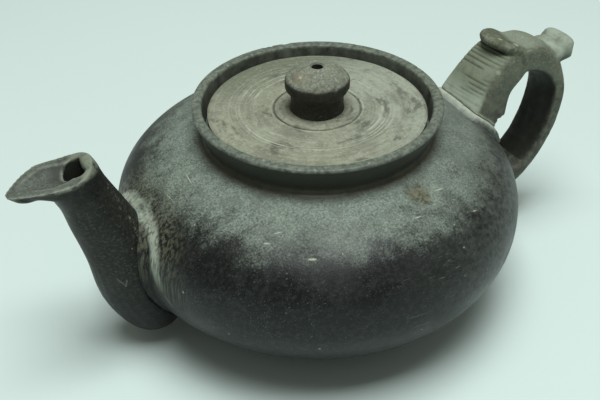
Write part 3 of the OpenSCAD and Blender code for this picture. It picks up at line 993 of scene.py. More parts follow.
@dataclass(frozen=True)
class Smear:
    """The pale smear of filler round the spout's root, alike on both sides of it."""

    line: tuple[Vector, ...] = (
        mm(-68.7, -4.0, 56.5), mm(-68.6, -10.0, 55.7), mm(-70.5, -16.5, 50.5),
        mm(-72.0, -19.5, 43.0), mm(-71.8, -21.5, 38.0), mm(-69.6, -26.0, 32.5),
    )
    olive: Coat = Coat((0.17, 0.175, 0.115), 0.6, z=(30.0, 44.0), mark=Mark.SMEAR, marked=(17.0, 3.4))
    olive_strokes: Stretch = (1000.0, 1000.0, 70.0)
    band_tones: tuple[Colour, Colour] = ((0.19, 0.20, 0.15), (0.46, 0.51, 0.425))
    band_strokes: Stretch = (800.0, 800.0, 90.0)
    band_gap: Span = (2.5, 0.1)
    thin: Coat = Coat(
        (0.20, 0.205, 0.15), 0.55, (Patches(140.0, 0.36, 0.58),), z=(44.0, 38.0),
        mark=Mark.SMEAR, marked=(1.0, 0.3),
    )

    def mark(self, piece: Piece) -> None:
        """Gives each point of a piece its way from the smear's line.

        Args:
            piece: A piece that carries the smear.
        """
        near = [Vector((vertex.co.x, -abs(vertex.co.y), vertex.co.z)) for vertex in piece.data.vertices]
        gaps = [min(away(at, a, b) for a, b in zip(self.line, self.line[1:])) for at in near]
        Bench.mark(piece, Mark.SMEAR, gaps, MM)

    def paint(self, finish: StoneFinish) -> None:
        """Paints fine olive strokes, the pale band and the thin line that it ends in.

        Args:
            finish: The finish of a piece that carries the smear.
        """
        finish.coat(self.olive, finish.strokes(self.olive_strokes, 0.42, 0.62))
        drawn = finish.strokes(self.band_strokes, 0.30, 0.56)
        uneven = finish.number("ADD", finish.mark(Mark.SMEAR), finish.number("MULTIPLY", drawn, -0.9))
        fading = finish.span(finish.xyz[2], 58.0 * MM, 53.0 * MM, (0.35, 0.9))
        band = finish.times(finish.span(uneven, *self.band_gap), finish.rise(0.0, 36.0, 46.0), fading)
        finish.paint(band, finish.blend(drawn, *self.band_tones))
        finish.coat(self.thin)


@dataclass(frozen=True)
class Nick:
    """A pale nick in the pot, from one end to the other, with half of its width. Lengths are in metres."""

    a: Vector
    b: Vector
    width: float


@dataclass
class Pot:
    """The turned pot with its belly, shoulder, collar and rim. Lengths are in metres."""

    belly_z: float = 38.5 * MM
    base_r: float = 34.0 * MM
    belly_power: float = 2.05
    shoulder_h: float = 33.5 * MM
    shoulder_power: float = 2.45
    wall_t: float = 5.0 * MM
    rim_t: float = 4.0 * MM
    rim_round: float = 1.5 * MM
    rim_power: float = 3.4
    collar_flare: float = 4.5 * MM
    foot_round: float = 3.0 * MM
    seat_lean: float = 1.0 * MM
    ledge_w: float = 6.0 * MM
    port_z: float = 20.0 * MM
    port_r: float = 5.0 * MM
    outer_steps: int = 48
    inner_steps: int = 14
    collar_steps: int = 6
    rim_steps: int = 8
    segments: int = 384
    port_segments: int = 48
    wave_d: float = 0.15 * MM
    wave_size: float = 30.0 * MM
    wear_d: float = 0.3 * MM
    wear_h: float = 2.6 * MM
    chip_size: float = 2.2 * MM
    rub_size: float = 16.0 * MM
    scar_d: float = 0.9 * MM
    scar_at: Vector = mm(12.6, -48.5, 66.2)
    scar_r: float = 6.0 * MM
    scar_ragged: float = 3.5 * MM
    scar_lump: float = 3.0 * MM
    scar_pit: float = 1.6 * MM
    smear: Smear = Smear()
    nicks: tuple[Nick, ...] = (
        Nick(mm(-43.0, -42.5, 61.7), mm(-40.5, -44.5, 61.8), 0.36 * MM),
        Nick(mm(-38.5, -42.0, 63.4), mm(-35.5, -43.0, 63.9), 0.30 * MM),
        Nick(mm(-33.0, -54.5, 59.7), mm(-30.0, -56.0, 59.9), 0.60 * MM),
        Nick(mm(17.5, -49.0, 65.6), mm(22.5, -48.5, 65.0), 0.40 * MM),
        Nick(mm(5.5, -56.5, 63.6), mm(8.5, -56.5, 63.4), 0.34 * MM),
        Nick(mm(27.0, -58.0, 59.6), mm(31.5, -57.5, 58.6), 0.28 * MM),
        Nick(mm(-61.0, 1.5, 61.9), mm(-59.5, -9.0, 61.9), 0.25 * MM),
        Nick(mm(-51.5, 1.0, 65.6), mm(-52.0, -7.5, 65.4), 0.25 * MM),
    )
    # Pale grey over the side towards the handle, growing with x, in fine and coarse patches.
    handle_side_grey: Coat = Coat(
        (0.115, 0.127, 0.11), patches=(Patches(480.0, 0.36, 0.66, 0.15), Patches(90.0, 0.3, 0.6, 0.5, 0.85))
    )
    stains: Coat = Coat((0.085, 0.098, 0.084), 0.6, (Patches(130.0, 0.48, 0.66),))
    specks: Coat = Coat((0.06, 0.068, 0.06), 0.45, (Patches(620.0, 0.54, 0.68),))
    # Painted reflection of the pale floor: a faint bluish lift on the lower belly.
    painted_floor_reflection: Coat = Coat((0.05, 0.064, 0.062), 0.2, (Patches(160.0, 0.35, 0.65),))
    olive_foot: Coat = Coat((0.082, 0.080, 0.052), patches=(Patches(110.0, 0.3, 0.6, 0.3, 0.8),))
    collar_outside: Coat = Coat((0.040, 0.041, 0.032), 0.88)
    collar_inside: Coat = Coat((0.105, 0.116, 0.094), patches=(Patches(180.0, 0.34, 0.62, 0.35, 0.9),))
    rim_top: Coat = Coat((0.062, 0.070, 0.058), 0.9)
    worn_lip: Coat = Coat(
        (0.185, 0.21, 0.168), patches=(Patches(520.0, 0.38, 0.62, 0.2), Patches(90.0, 0.36, 0.6, 0.65))
    )
    lip_flecks: Coat = replace(worn_lip, colour=(0.42, 0.45, 0.38), strength=0.8)
    scar_tones: tuple[Colour, Colour] = ((0.028, 0.028, 0.018), (0.165, 0.158, 0.098))
    scar_grain: Patches = Patches(480.0, 0.4, 0.62)
    pale_nick: Coat = Coat((0.43, 0.45, 0.36), 0.85)
    nodes: tuple[str, ...] = ("pot_floor", "pot_bowl", "pot_belly", "pot_shoulder", "pot_collar")

    def __post_init__(self) -> None:
        """Reads the driving sizes from the frame."""
        self.belly_r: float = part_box("pot_belly")[1].x
        self.floor_t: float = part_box("pot_floor")[1].z
        self.seat_z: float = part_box("pot_shoulder")[1].z
        self.rim_r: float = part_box("pot_collar")[1].x
        self.rim_z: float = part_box("pot_collar")[1].z
        self.foot_r: float = self.rim_r - self.collar_flare
        self.seat_r: float = self.rim_r - self.rim_t - self.seat_lean
        self.belly_depth: float = self.belly_z / self._lift(self.base_r, self.belly_power)
        self.foot_z: float = self.belly_z + self.shoulder_h * self._lift(self.foot_r, self.shoulder_power)

    def _lift(self, radius: float, power: float) -> float:
        """Share of its full height that a rounded wall has reached where it has narrowed to a radius."""
        return (1 - (radius / self.belly_r) ** power) ** (1 / power)

    def _wall(self, inset: float, low_z: float, top_r: float, steps: int) -> Outline:
        """Outline of the wall from below upwards.

        Args:
            inset: Distance inside the pot's outside.
            low_z: Height at which it starts.
            top_r: Radius at which it ends on the shoulder.
            steps: Number of steps below the widest place and above it.

        Returns:
            The points of the wall.
        """
        radius, depth, rise = self.belly_r - inset, self.belly_depth - inset, self.shoulder_h - inset
        low = math.asin(((self.belly_z - low_z) / depth) ** (self.belly_power / 2))
        top = math.acos((top_r / radius) ** (self.shoulder_power / 2))
        below = quarter(radius, depth, self.belly_power, low, 0.0, steps)
        above = quarter(radius, rise, self.shoulder_power, 0.0, top, steps)
        return [(r, self.belly_z - h) for r, h in below] + [(r, self.belly_z + h) for r, h in above[1:]]

    def outline(self) -> Outline:
        """Outline of the pot from the middle of its base round to the middle of its floor."""
        outside = self._wall(0.0, 0.0, self.foot_r + self.foot_round, self.outer_steps)
        foot = (self.foot_r, self.foot_z)
        edge = (self.rim_r, self.rim_z - self.rim_round)
        length, steps = math.dist(foot, edge), self.collar_steps
        face = tuple(f + (e - f) * self.foot_round / length for f, e in zip(foot, edge))
        collar = [tuple(a + (b - a) * k / steps for a, b in zip(face, edge)) for k in range(1, steps)]
        rim_middle = self.rim_r - self.rim_t / 2
        half = quarter(self.rim_t / 2, self.rim_round, self.rim_power, 0.0, math.pi / 2, self.rim_steps)
        rim = [(rim_middle + r, edge[1] + h) for r, h in half]
        rim += [(rim_middle - r, edge[1] + h) for r, h in half[-2::-1]]
        opening_r = self.seat_r - self.ledge_w
        inside = self._wall(self.wall_t, self.floor_t, opening_r, self.inner_steps)
        return (
            [(0.0, 0.0), (self.base_r / 2, 0.0)] + outside
            + hollow(outside[-1], foot, face, steps)[1:] + collar + rim
            + [(self.seat_r, self.seat_z), (opening_r, self.seat_z)] + inside[::-1]
            + [(inside[0][0] / 2, self.floor_t), (0.0, self.floor_t)]
        )

    def build(self) -> Piece:
        """Turns the pot, opens its port and gives it the marks of use.

        Returns:
            The pot.
        """
        piece = Bench.turned("turned_pot", self.outline(), self.segments)
        floor_t, size = self.floor_t, self.wave_size
        Bench.carve(piece, self.wave_d, lambda at, up: ripple(at, size) if at.z > floor_t else 0.0)
        Bench.carve(piece, self.wear_d, self._rim_wear)
        Bench.carve(piece, self.scar_d, self._scar)
        Bench.clear()
        length = 5 * self.port_r
        bpy.ops.mesh.primitive_cylinder_add(vertices=self.port_segments, radius=self.port_r, depth=length)
        port = bpy.context.object
        middle = Vector((-self.belly_r + length / 2, 0.0, self.port_z))
        port.data.transform(Matrix.Translation(middle) @ Matrix.Rotation(math.pi / 2, 4, "Y"))
        Bench.cut(piece, port)
        self.smear.mark(piece)
        return piece

    def _rim_wear(self, at: Vector, up: Vector) -> float:
        """Chips and rubbed places along the rim.

        Args:
            at: A point of the pot.
            up: Its normal, which is not used.

        Returns:
            Share of the wear's depth.
        """
        if at.z < self.rim_z - self.wear_h:
            return 0.0
        chip = ease(ripple(at, self.chip_size, seed=4.0), 0.70, 0.88)
        return 0.9 * chip + 0.2 * ripple(at, self.rub_size, seed=9.0)

    def _scar(self, at: Vector, up: Vector) -> float:
        """The broken scar on the shoulder.

        Args:
            at: A point of the pot.
            up: Its normal.

        Returns:
            Share of the scar's depth.
        """
        if up.z < 0.2 or at.z < self.belly_z:
            return 0.0
        ragged = self.scar_ragged * (ripple(at, self.scar_lump, seed=2.0) - 0.5)
        inside = 1.0 - ((at - self.scar_at).length + ragged) / self.scar_r
        return 0.9 * ease(inside, 0.0, 0.45) * (0.5 + 0.5 * ripple(at, self.scar_pit, seed=6.0))

    def dress(self, piece: Piece, effects: Effects) -> None:
        """Gives the pot its dark stone with a dusty shoulder and a painted reflection of the floor low on the
        belly.

        Args:
            piece: The pot.
            effects: The shared node groups.
        """
        finish = StoneFinish("dark_stone", DARK_STONE, effects)
        x, _, z = finish.xyz
        # Paler towards the handle side as x rises.
        finish.coat(self.handle_side_grey, finish.span(x, -0.1 * self.belly_r, 0.8 * self.belly_r))
        finish.coat(self.stains, finish.dusty)
        finish.coat(self.specks, finish.dusty)
        # Painted floor reflection, growing towards the base.
        finish.coat(self.painted_floor_reflection, finish.span(z, 0.75 * self.belly_z, 0.2 * self.belly_z))
        self._paint_collar(finish)
        self.smear.paint(finish)
        scar = finish.near(self.scar_at, 0.35 * self.scar_r, self.scar_r)
        finish.paint(finish.times(scar, 0.9), finish.blend(finish.patches(self.scar_grain), *self.scar_tones))
        for nick in self.nicks:
            finish.coat(self.pale_nick, finish.nick(nick.a, nick.b, nick.width))
        finish.turn_rings(700.0, 0.3)
        finish.close(piece)
        Bench.finish(piece, Body.POT, Slot.DARK, self.nodes)

    def _paint_collar(self, finish: StoneFinish) -> None:
        """Paints the collar's olive foot, its dark outside, its inside and the worn lip.

        Args:
            finish: The finish of the pot.
        """
        out = finish.add("ShaderNodeVectorMath", {0: finish.level}, operation="NORMALIZE").outputs["Vector"]
        foot = (finish.rise(self.foot_z, -1.4, -0.2), finish.rise(self.foot_z, 5.0, 1.0))
        finish.coat(self.olive_foot, *foot, finish.facing(out, -0.2, 0.1))
        wall = (finish.rise(self.foot_z, 0.5, 4.0), finish.rise(self.rim_z, -0.7, -1.7))
        finish.coat(self.collar_outside, *wall, finish.facing(out, 0.2, 0.6))
        finish.coat(self.collar_inside, finish.rise(self.seat_z, -0.4, 0.0), finish.facing(out, -0.2, -0.6))
        top = finish.rise(self.rim_z, -1.7, -0.8)
        finish.coat(self.rim_top, top)
        finish.coat(self.worn_lip, top)
        flecks = finish.group(finish.effects.flecks, {"Scale": 520.0, "Share": 0.16, "Size": 0.3})
        finish.coat(self.lip_flecks, top, flecks["Mask"])


@dataclass
class Spout:
    """The beaked spout and the filler round its root. Lengths are in metres."""

    voxel: float = 0.42 * MM
    bond_voxel: float = 0.26 * MM
    mouth_z: float = 74.0 * MM
    scoop: Vector = mm(22.0, 15.0, 12.0)
    scoop_at: Vector = mm(-97.0, 0.0, 82.6)
    tip: tuple[Vector, Vector, float] = (mm(11.0, 9.5, 4.0), mm(-105.7, 0.0, 75.1), 0.14)
    back_rim: tuple[Vector, Vector] = (mm(3.8, 11.0, 5.2), mm(-84.7, 0.0, 79.9))
    throat_x: float = -98.0 * MM
    throat_reach: Span = (8.0 * MM, 4.0 * MM)
    throat_z: Span = (76.0 * MM, 74.0 * MM)
    beak_x: Span = (-88.0 * MM, -93.0 * MM)
    beak_up: Span = (0.25, -0.1)
    back_x: Span = (-90.0 * MM, -87.0 * MM)
    back_z: Span = (75.0 * MM, 78.0 * MM)
    wave_d: float = 0.15 * MM
    wave_size: float = 9.0 * MM
    chip_d: float = 0.14 * MM
    chip_size: float = 3.0 * MM
    bond_wave_d: float = 0.12 * MM
    bond_wave_size: float = 4.0 * MM
    eye_at: Vector = mm(-90.0, 2.0, 77.0)
    eye_r: Span = (3.5 * MM, 11.0 * MM)
    smear: Smear = Smear()
    worn_line: tuple[Vector, ...] = (mm(-79.6, -4.4, 72.5), mm(-76.1, -6.6, 62.0), mm(-72.9, -8.2, 53.0))
    worn_w: Span = (0.3 * MM, 2.0 * MM)
    cuts: tuple[Vector, ...] = (mm(-83.2, -10.6, 38.6), mm(-80.8, -11.8, 35.2), mm(-80.2, -11.9, 37.4))
    cut_w: Span = (0.15 * MM, 0.55 * MM)
    rubbed_front: Coat = Coat((0.045, 0.047, 0.035), 0.25, (Patches(120.0, 0.3, 0.62),), x=(-74.0, -84.0))
    cross_strokes: Coat = Coat((0.11, 0.112, 0.085), 0.4)
    worn_mouth: Coat = Coat(
        (0.24, 0.262, 0.21), patches=(Patches(420.0, 0.34, 0.58, 0.25, 0.9),),
        mark=Mark.ARRIS, marked=(0.05, 0.24),
    )
    pale_back: Coat = Coat(
        (0.22, 0.245, 0.186), 0.85, (Patches(380.0, 0.3, 0.56),), x=(-90.0, -87.0), z=(78.5, 80.5)
    )
    # Painted shade in the hollow round the eye, strongest in concave places.
    painted_eye_shade: Coat = Coat((0.035, 0.038, 0.031), 0.75, mark=Mark.ARRIS, marked=(0.06, -0.02))
    fleck_line: Coat = Coat(
        (0.24, 0.25, 0.20), patches=(Patches(620.0, 0.52, 0.66),), mark=Mark.LINE, marked=(0.05, 0.5)
    )
    pale_cuts: Coat = Coat((0.22, 0.225, 0.175), 0.45, mark=Mark.LINE, marked=(0.55, 0.95))

    def build(self, pot: Piece) -> tuple[Piece, Piece]:
        """Copies the spout and its filler and works their surfaces.

        Args:
            pot: The pot that carries them.

        Returns:
            The spout and the filler.
        """
        spout = Bench.copied("beaked_spout", "spout")
        Bench.cut(spout, Bench.lump(self.scoop, self.scoop_at))
        Bench.join(spout, Bench.lump(*self.tip), Bench.lump(*self.back_rim))
        Bench.even(spout, self.voxel, 4)
        Bench.soften(spout, 90, self._throat)
        Bench.soften(spout, 40, lambda at, up: ease(at.x, *self.beak_x) * ease(up.z, *self.beak_up))
        Bench.soften(spout, 14, lambda at, up: ease(at.x, *self.back_x) * ease(at.z, *self.back_z))
        Bench.carve(spout, self.wave_d, lambda at, up: ripple(at, self.wave_size, seed=3.0))
        Bench.chip(spout, self.chip_d, self.chip_size, seed=7.0)
        Bench.mark(spout, Mark.ARRIS, Bench.relief(spout, ARRIS_ROUNDS), MM)
        Bench.mark(spout, Mark.LINE, Bench.judge(spout, self._scored))
        filler = Bench.copied("spout_filler", "spout_bond")
        Bench.even(filler, self.bond_voxel, 5)
        Bench.carve(filler, self.bond_wave_d, lambda at, up: ripple(at, self.bond_wave_size, seed=5.0))
        Bench.settle(filler, pot, reach=0.8 * MM, depth=0.3 * MM)
        Bench.settle(filler, spout, reach=0.9 * MM, depth=0.35 * MM)
        Bench.smooth(filler, 4)
        self.smear.mark(filler)
        return spout, filler

    def _throat(self, at: Vector, up: Vector) -> float:
        """Gives 1 in the throat under the beak and 0 away from it."""
        return ease(abs(at.x - self.throat_x), *self.throat_reach) * ease(at.z, *self.throat_z)

    def _scored(self, at: Vector, up: Vector) -> float:
        """Gives 1 in the two cuts that meet, half along the worn line at the back, and 0 elsewhere.

        Args:
            at: A point of the spout.
            up: Its normal, which is not used.

        Returns:
            The mark of the point.
        """
        worn, cut = (
            min(away(at, a, b) for a, b in zip(line, line[1:])) for line in (self.worn_line, self.cuts)
        )
        return max(0.5 * (1.0 - ease(worn, *self.worn_w)), 1.0 - ease(cut, *self.cut_w))

    def dress(self, pieces: tuple[Piece, Piece], effects: Effects) -> None:
        """Gives the spout dark stone and its root a pale smear.

        Args:
            pieces: The spout and the filler.
            effects: The shared node groups.
        """
        spout, filler = pieces
        self._stone(effects).close(spout)
        Bench.finish(spout, Body.POT, Slot.DARK, ("spout",))
        smeared = StoneFinish("smeared_filler", SMEARED_FILLER, effects)
        self.smear.paint(smeared)
        smeared.close(filler)
        Bench.finish(filler, Body.POT, Slot.FILLER, ("spout_bond",))

    def _stone(self, effects: Effects) -> StoneFinish:
        """Dark stone with cross scratches, a worn mouth, a line of flecks down the back and painted shade
        round the eye.

        Args:
            effects: The shared node groups.

        Returns:
            The finish.
        """
        finish = StoneFinish("spout_stone", SPOUT_STONE, effects)
        z, mouth_z = finish.xyz[2], self.mouth_z
        tube = (finish.span(z, 0.3 * mouth_z, 0.5 * mouth_z), finish.span(z, mouth_z, 0.9 * mouth_z))
        finish.coat(self.rubbed_front, *tube)
        across = finish.strokes((900.0, 110.0, 1300.0), 0.52, 0.66, turn=(0.35, 0.3, 0.0))
        finish.coat(self.cross_strokes, across, *tube)
        finish.coat(self.worn_mouth, finish.span(z, 0.9 * mouth_z, mouth_z))
        finish.coat(self.pale_back)
        # Painted shade round the eye.
        finish.coat(self.painted_eye_shade, finish.near(self.eye_at, *self.eye_r))
        finish.coat(self.fleck_line)
        finish.coat(self.pale_cuts)
        return finish


@dataclass
class Handle:
    """The ear handle and the filler under its roots. Lengths are in metres."""

    voxel: float = 0.42 * MM
    bond_voxel: float = 0.26 * MM
    bed_reach: float = 6.0 * MM
    ridge: tuple[Vector, ...] = (mm(83.6, -8.8, 83.0), mm(85.6, -8.9, 77.6), mm(85.0, -8.9, 73.0))
    ridge_t: float = 3.0 * MM
    spur: Vector = mm(12.0, 17.8, 8.4)
    spur_at: Vector = mm(103.0, 0.0, 75.2)
    loop_at: Vector = mm(91.0, 0.0, 55.0)
    loop_from: float = 30.0 * MM
    break_size: Vector = mm(8.5, 12.0, 8.5)
    break_at: Vector = mm(73.8, -9.6, 54.9)
    break_r: Span = (5.5 * MM, 7.5 * MM)
    dish_at: Vector = mm(86.0, 0.0, 84.6)
    dish_r: Span = (7.5 * MM, 12.0 * MM)
    dish_from: float = 76.0 * MM
    dish_d: float = 1.5 * MM
    wave_d: float = 0.2 * MM
    wave_size: float = 6.0 * MM
    chip_d: float = 0.2 * MM
    chip_size: float = 2.4 * MM
    limb_way: Vector = fixed(0.5, 0.0, 0.866)
    limb_face: Vector = fixed(-0.866, 0.0, 0.5)
    chisel_d: float = 0.16 * MM
    chisel_pitch: float = 1.7 * MM
    chisel_slant: float = 0.08
    chisel_z: Span = (62.0 * MM, 72.0 * MM)
    chisel_end: float = 86.0 * MM
    chisel_sway: Span = (2.9 * MM, 1.3 * MM)
    chisel_gap: float = 2.2 * MM
    flare: float = 2.2 * MM
    flare_reach: float = 3.0 * MM
    # Painted shade on the handle's side faces, picked out by their normals.
    painted_flank_shade: Coat = Coat(
        (0.062, 0.064, 0.05), 1.0, (Patches(210.0, 0.34, 0.6, 0.35, 0.95),), x=(86.0, 78.0), z=(76.0, 60.0)
    )
    # Painted light on faces that face like the front limb, paler still on its lower part.
    painted_lit_fronts: tuple[Coat, ...] = (
        Coat((0.222, 0.254, 0.18), 1.0, (Patches(190.0, 0.32, 0.6, 0.3, 0.95),), x=(84.0, 78.0)),
        Coat((0.42, 0.475, 0.39), 0.9, (Patches(150.0, 0.3, 0.56, 0.3),), x=(84.0, 78.0), z=(73.0, 65.0)),
    )
    dark_root: Coat = Coat(
        (0.045, 0.042, 0.036), 0.8, (Patches(240.0, 0.36, 0.6),), x=(69.0, 73.0), z=(66.0, 61.0)
    )
    # Painted shade on the faces inside the finger loop.
    painted_loop_shade: Coat = Coat((0.017, 0.018, 0.014), 0.92, mark=Mark.HOLLOW)
    pale_spur: Coat = Coat(
        (0.34, 0.39, 0.325), 0.85, (Patches(150.0, 0.3, 0.6),), x=(97.0, 102.0), z=(73.0, 77.0)
    )
    lip: Coat = Coat(
        (0.086, 0.093, 0.056), 0.92, (Patches(260.0, 0.3, 0.58, 0.5),), x=(86.0, 81.0), z=(82.6, 83.6)
    )
    lip_mottles: Coat = replace(
        lip, colour=(0.032, 0.034, 0.022), strength=0.75, patches=(*lip.patches, Patches(480.0, 0.5, 0.62))
    )
    chisel_lines: Coat = Coat((0.045, 0.048, 0.034), 0.75, mark=Mark.LINE)
    worn_arris: Coat = Coat(
        (0.26, 0.28, 0.22), patches=(Patches(380.0, 0.42, 0.62, 0.05, 0.75),),
        mark=Mark.ARRIS, marked=(0.06, 0.26),
    )
    # Painted shade in creases and hollows.
    painted_crease_shade: Coat = Coat((0.018, 0.019, 0.014), 0.85, mark=Mark.ARRIS, marked=(-0.06, -0.3))
    # Pale line along the handle's bottom edge at the filler: the filler's colour carried over, and a painted
    # highlight that also lifts the crease's shade.
    bed_line_and_highlight: Coat = Coat(
        (0.42, 0.455, 0.37), 0.85, (Patches(260.0, 0.3, 0.55, 0.4),), mark=Mark.BED, marked=(1.5, 0.7)
    )
    pale_spot: Coat = Coat((0.42, 0.43, 0.33), 0.8)
    spots: tuple[Vector, ...] = (mm(76.4, -3.6, 87.4), mm(81.0, -7.4, 85.4), mm(72.6, -9.4, 76.6))
    spot_r: Span = (0.3 * MM, 1.5 * MM)
    # Pale line on the filler next to the handle: the filler's colour with a painted highlight.
    filler_line_and_highlight: Coat = Coat(
        (0.45, 0.48, 0.40), 0.9, (Patches(260.0, 0.3, 0.55, 0.5),), mark=Mark.BED, marked=(1.9, 0.9)
    )

    def build(self, pot: Piece) -> tuple[Piece, Piece, Piece]:
        """Copies the handle and its fillers and works their surfaces.

        Args:
            pot: The pot that carries them.

        Returns:
            The handle, the upper filler and the lower filler.
        """
        handle = Bench.copied("ear_handle", "handle")
        for a, b in zip(self.ridge, self.ridge[1:]):
            size = Vector((self.ridge_t, self.ridge_t, 1.5 * (b - a).length))
            Bench.join(handle, Bench.lump(size, (a + b) / 2, math.atan2(a.x - b.x, a.z - b.z)))
        Bench.join(handle, Bench.lump(self.spur, self.spur_at))
        Bench.even(handle, self.voxel, 3)
        Bench.cut(handle, Bench.lump(self.break_size, self.break_at))
        Bench.even(handle, self.voxel, 1)
        Bench.carve(handle, self.dish_d, self._dished)
        Bench.carve(handle, self.wave_d, lambda at, up: ripple(at, self.wave_size, seed=1.0))
        Bench.chip(handle, self.chip_d, self.chip_size, seed=2.0)
        lines = Bench.judge(handle, self._chisel)
        Bench.sink(handle, self.chisel_d, lines)
        Bench.mark(handle, Mark.HOLLOW, Bench.judge(handle, self._inside))
        Bench.mark(handle, Mark.LINE, lines)
        beds = Bench.gaps(handle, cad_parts["handle_upper_bond"], self.bed_reach)
        Bench.mark(handle, Mark.BED, beds, MM)
        Bench.mark(handle, Mark.ARRIS, Bench.relief(handle, ARRIS_ROUNDS), MM)
        upper = self._filler("upper_filler", "handle_upper_bond", pot, handle)
        return handle, upper, self._filler("lower_filler", "handle_lower_bond", pot, handle)

    def _filler(self, name: str, node: str, pot: Piece, handle: Piece) -> Piece:
        """Copies the filler under one root and flares its foot on the pot.

        Args:
            name: Name of the piece.
            node: Name of the CAD node.
            pot: The pot that carries it.
            handle: The handle on it.

        Returns:
            The filler.
        """
        filler = Bench.copied(name, node)
        Bench.cut(filler, Bench.lump(self.break_size, self.break_at))
        Bench.even(filler, self.bond_voxel, 4)
        beds = Bench.gaps(filler, handle, self.bed_reach)
        foot = [1.0 - ease(gap, 0.0, self.flare) for gap in Bench.gaps(filler, pot, self.flare_reach)]
        Bench.sink(filler, -self.flare, foot)
        Bench.smooth(filler, 6)
        Bench.settle(filler, pot, reach=1.7 * MM, depth=0.35 * MM)
        Bench.smooth(filler, 2)
        Bench.mark(filler, Mark.BED, beds, MM)
        return filler

    def _dished(self, at: Vector, up: Vector) -> float:
        """The hollow of the thumb rest behind the lip.

        Args:
            at: A point of the handle.
            up: Its normal.

        Returns:
            Share of the dish's depth.
        """
        if up.z < 0.4 or at.z < self.dish_from:
            return 0.0
        way = math.hypot((at.x - self.dish_at.x) / self.dish_r[0], at.y / self.dish_r[1])
        return 1.0 - ease(way, 0.2, 1.0)

    def _chisel(self, at: Vector, up: Vector) -> float:
        """Cross lines left by the chisel on the upper part of the front limb.

        Args:
            at: A point of the handle.
            up: Its normal.

        Returns:
            Share of the lines' depth.
        """
        faces = ease(up.dot(self.limb_face), 0.35, 0.8) * ease(at.z, *self.chisel_z)
        if faces == 0.0 or at.x > self.chisel_end:
            return 0.0
        along = at.dot(self.limb_way) + self.chisel_slant * at.y
        uneven = 0.6 * math.sin(along / self.chisel_sway[0]) + 0.5 * math.sin(along / self.chisel_sway[1])
        wave = 0.5 + 0.5 * math.sin(2 * math.pi * along / self.chisel_pitch + 1.5 * uneven)
        broken = ease(ripple(Vector((along, 0.25 * at.y, 0.0)), self.chisel_gap, seed=5.0), 0.3, 0.7)
        return faces * wave ** 3 * broken

    def _inside(self, at: Vector, up: Vector) -> float:
        """Gives 1 where the surface faces the middle of the finger loop, apart from the broken place.

        Args:
            at: A point of the handle.
            up: Its normal.

        Returns:
            The mark of the point.
        """
        way = Vector((self.loop_at.x - at.x, 0.0, self.loop_at.z - at.z)).normalized()
        whole = ease((at - self.break_at).length, *self.break_r)
        return whole * ease(up.dot(way), 0.25, 0.8) if at.z > self.loop_from else 0.0

    def dress(self, pieces: tuple[Piece, Piece, Piece], effects: Effects) -> None:
        """Gives the handle grey-green stone and its roots filler with a pale line at the handle, which is
        partly a painted highlight.

        Args:
            pieces: The handle, the upper filler and the lower filler.
            effects: The shared node groups.
        """
        handle, upper, lower = pieces
        self._stone(effects).close(handle)
        Bench.finish(handle, Body.POT, Slot.GREY, ("handle",))
        bed = StoneFinish("root_filler", ROOT_FILLER, effects)
        # Filler colour with a painted highlight along the handle.
        bed.coat(self.filler_line_and_highlight)
        bed.close(upper)
        lower.data.materials.append(bed.material)
        for filler, node in ((upper, "handle_upper_bond"), (lower, "handle_lower_bond")):
            Bench.finish(filler, Body.POT, Slot.FILLER, (node,))

    def _stone(self, effects: Effects) -> StoneFinish:
        """Grey-green stone with dark chisel lines, an olive lip and worn arrises, with painted light on its
        front faces, painted shade on its side faces, inside the loop and in creases, and a pale bed line that
        is partly a painted highlight.

        Args:
            effects: The shared node groups.

        Returns:
            The finish.
        """
        finish = StoneFinish("grey_stone", GREY_STONE, effects)
        side = finish.math("ABSOLUTE", finish.parts(finish.normal)[1])
        # Painted shade on faces that look sideways.
        finish.coat(self.painted_flank_shade, finish.span(side, 0.45, 0.8))
        # Painted light on forward faces.
        for front in self.painted_lit_fronts:
            finish.coat(front, finish.facing(tuple(self.limb_face), 0.35, 0.75))
        # These coats include painted shade inside the loop and in creases, and a pale bed line that is partly
        # a painted highlight.
        for coat in (self.dark_root, self.painted_loop_shade, self.pale_spur, self.lip, self.lip_mottles,
                     self.chisel_lines, self.worn_arris, self.painted_crease_shade, self.bed_line_and_highlight):
            finish.coat(coat)
        for spot in self.spots:
            finish.coat(self.pale_spot, finish.near(spot, *self.spot_r))
        return finish


@dataclass(frozen=True)
class Ring:
    """A ring turned into the lid, whose groove may get painted shade. Lengths are in metres."""

    radius: float
    depth: float
    groove_shaded: bool


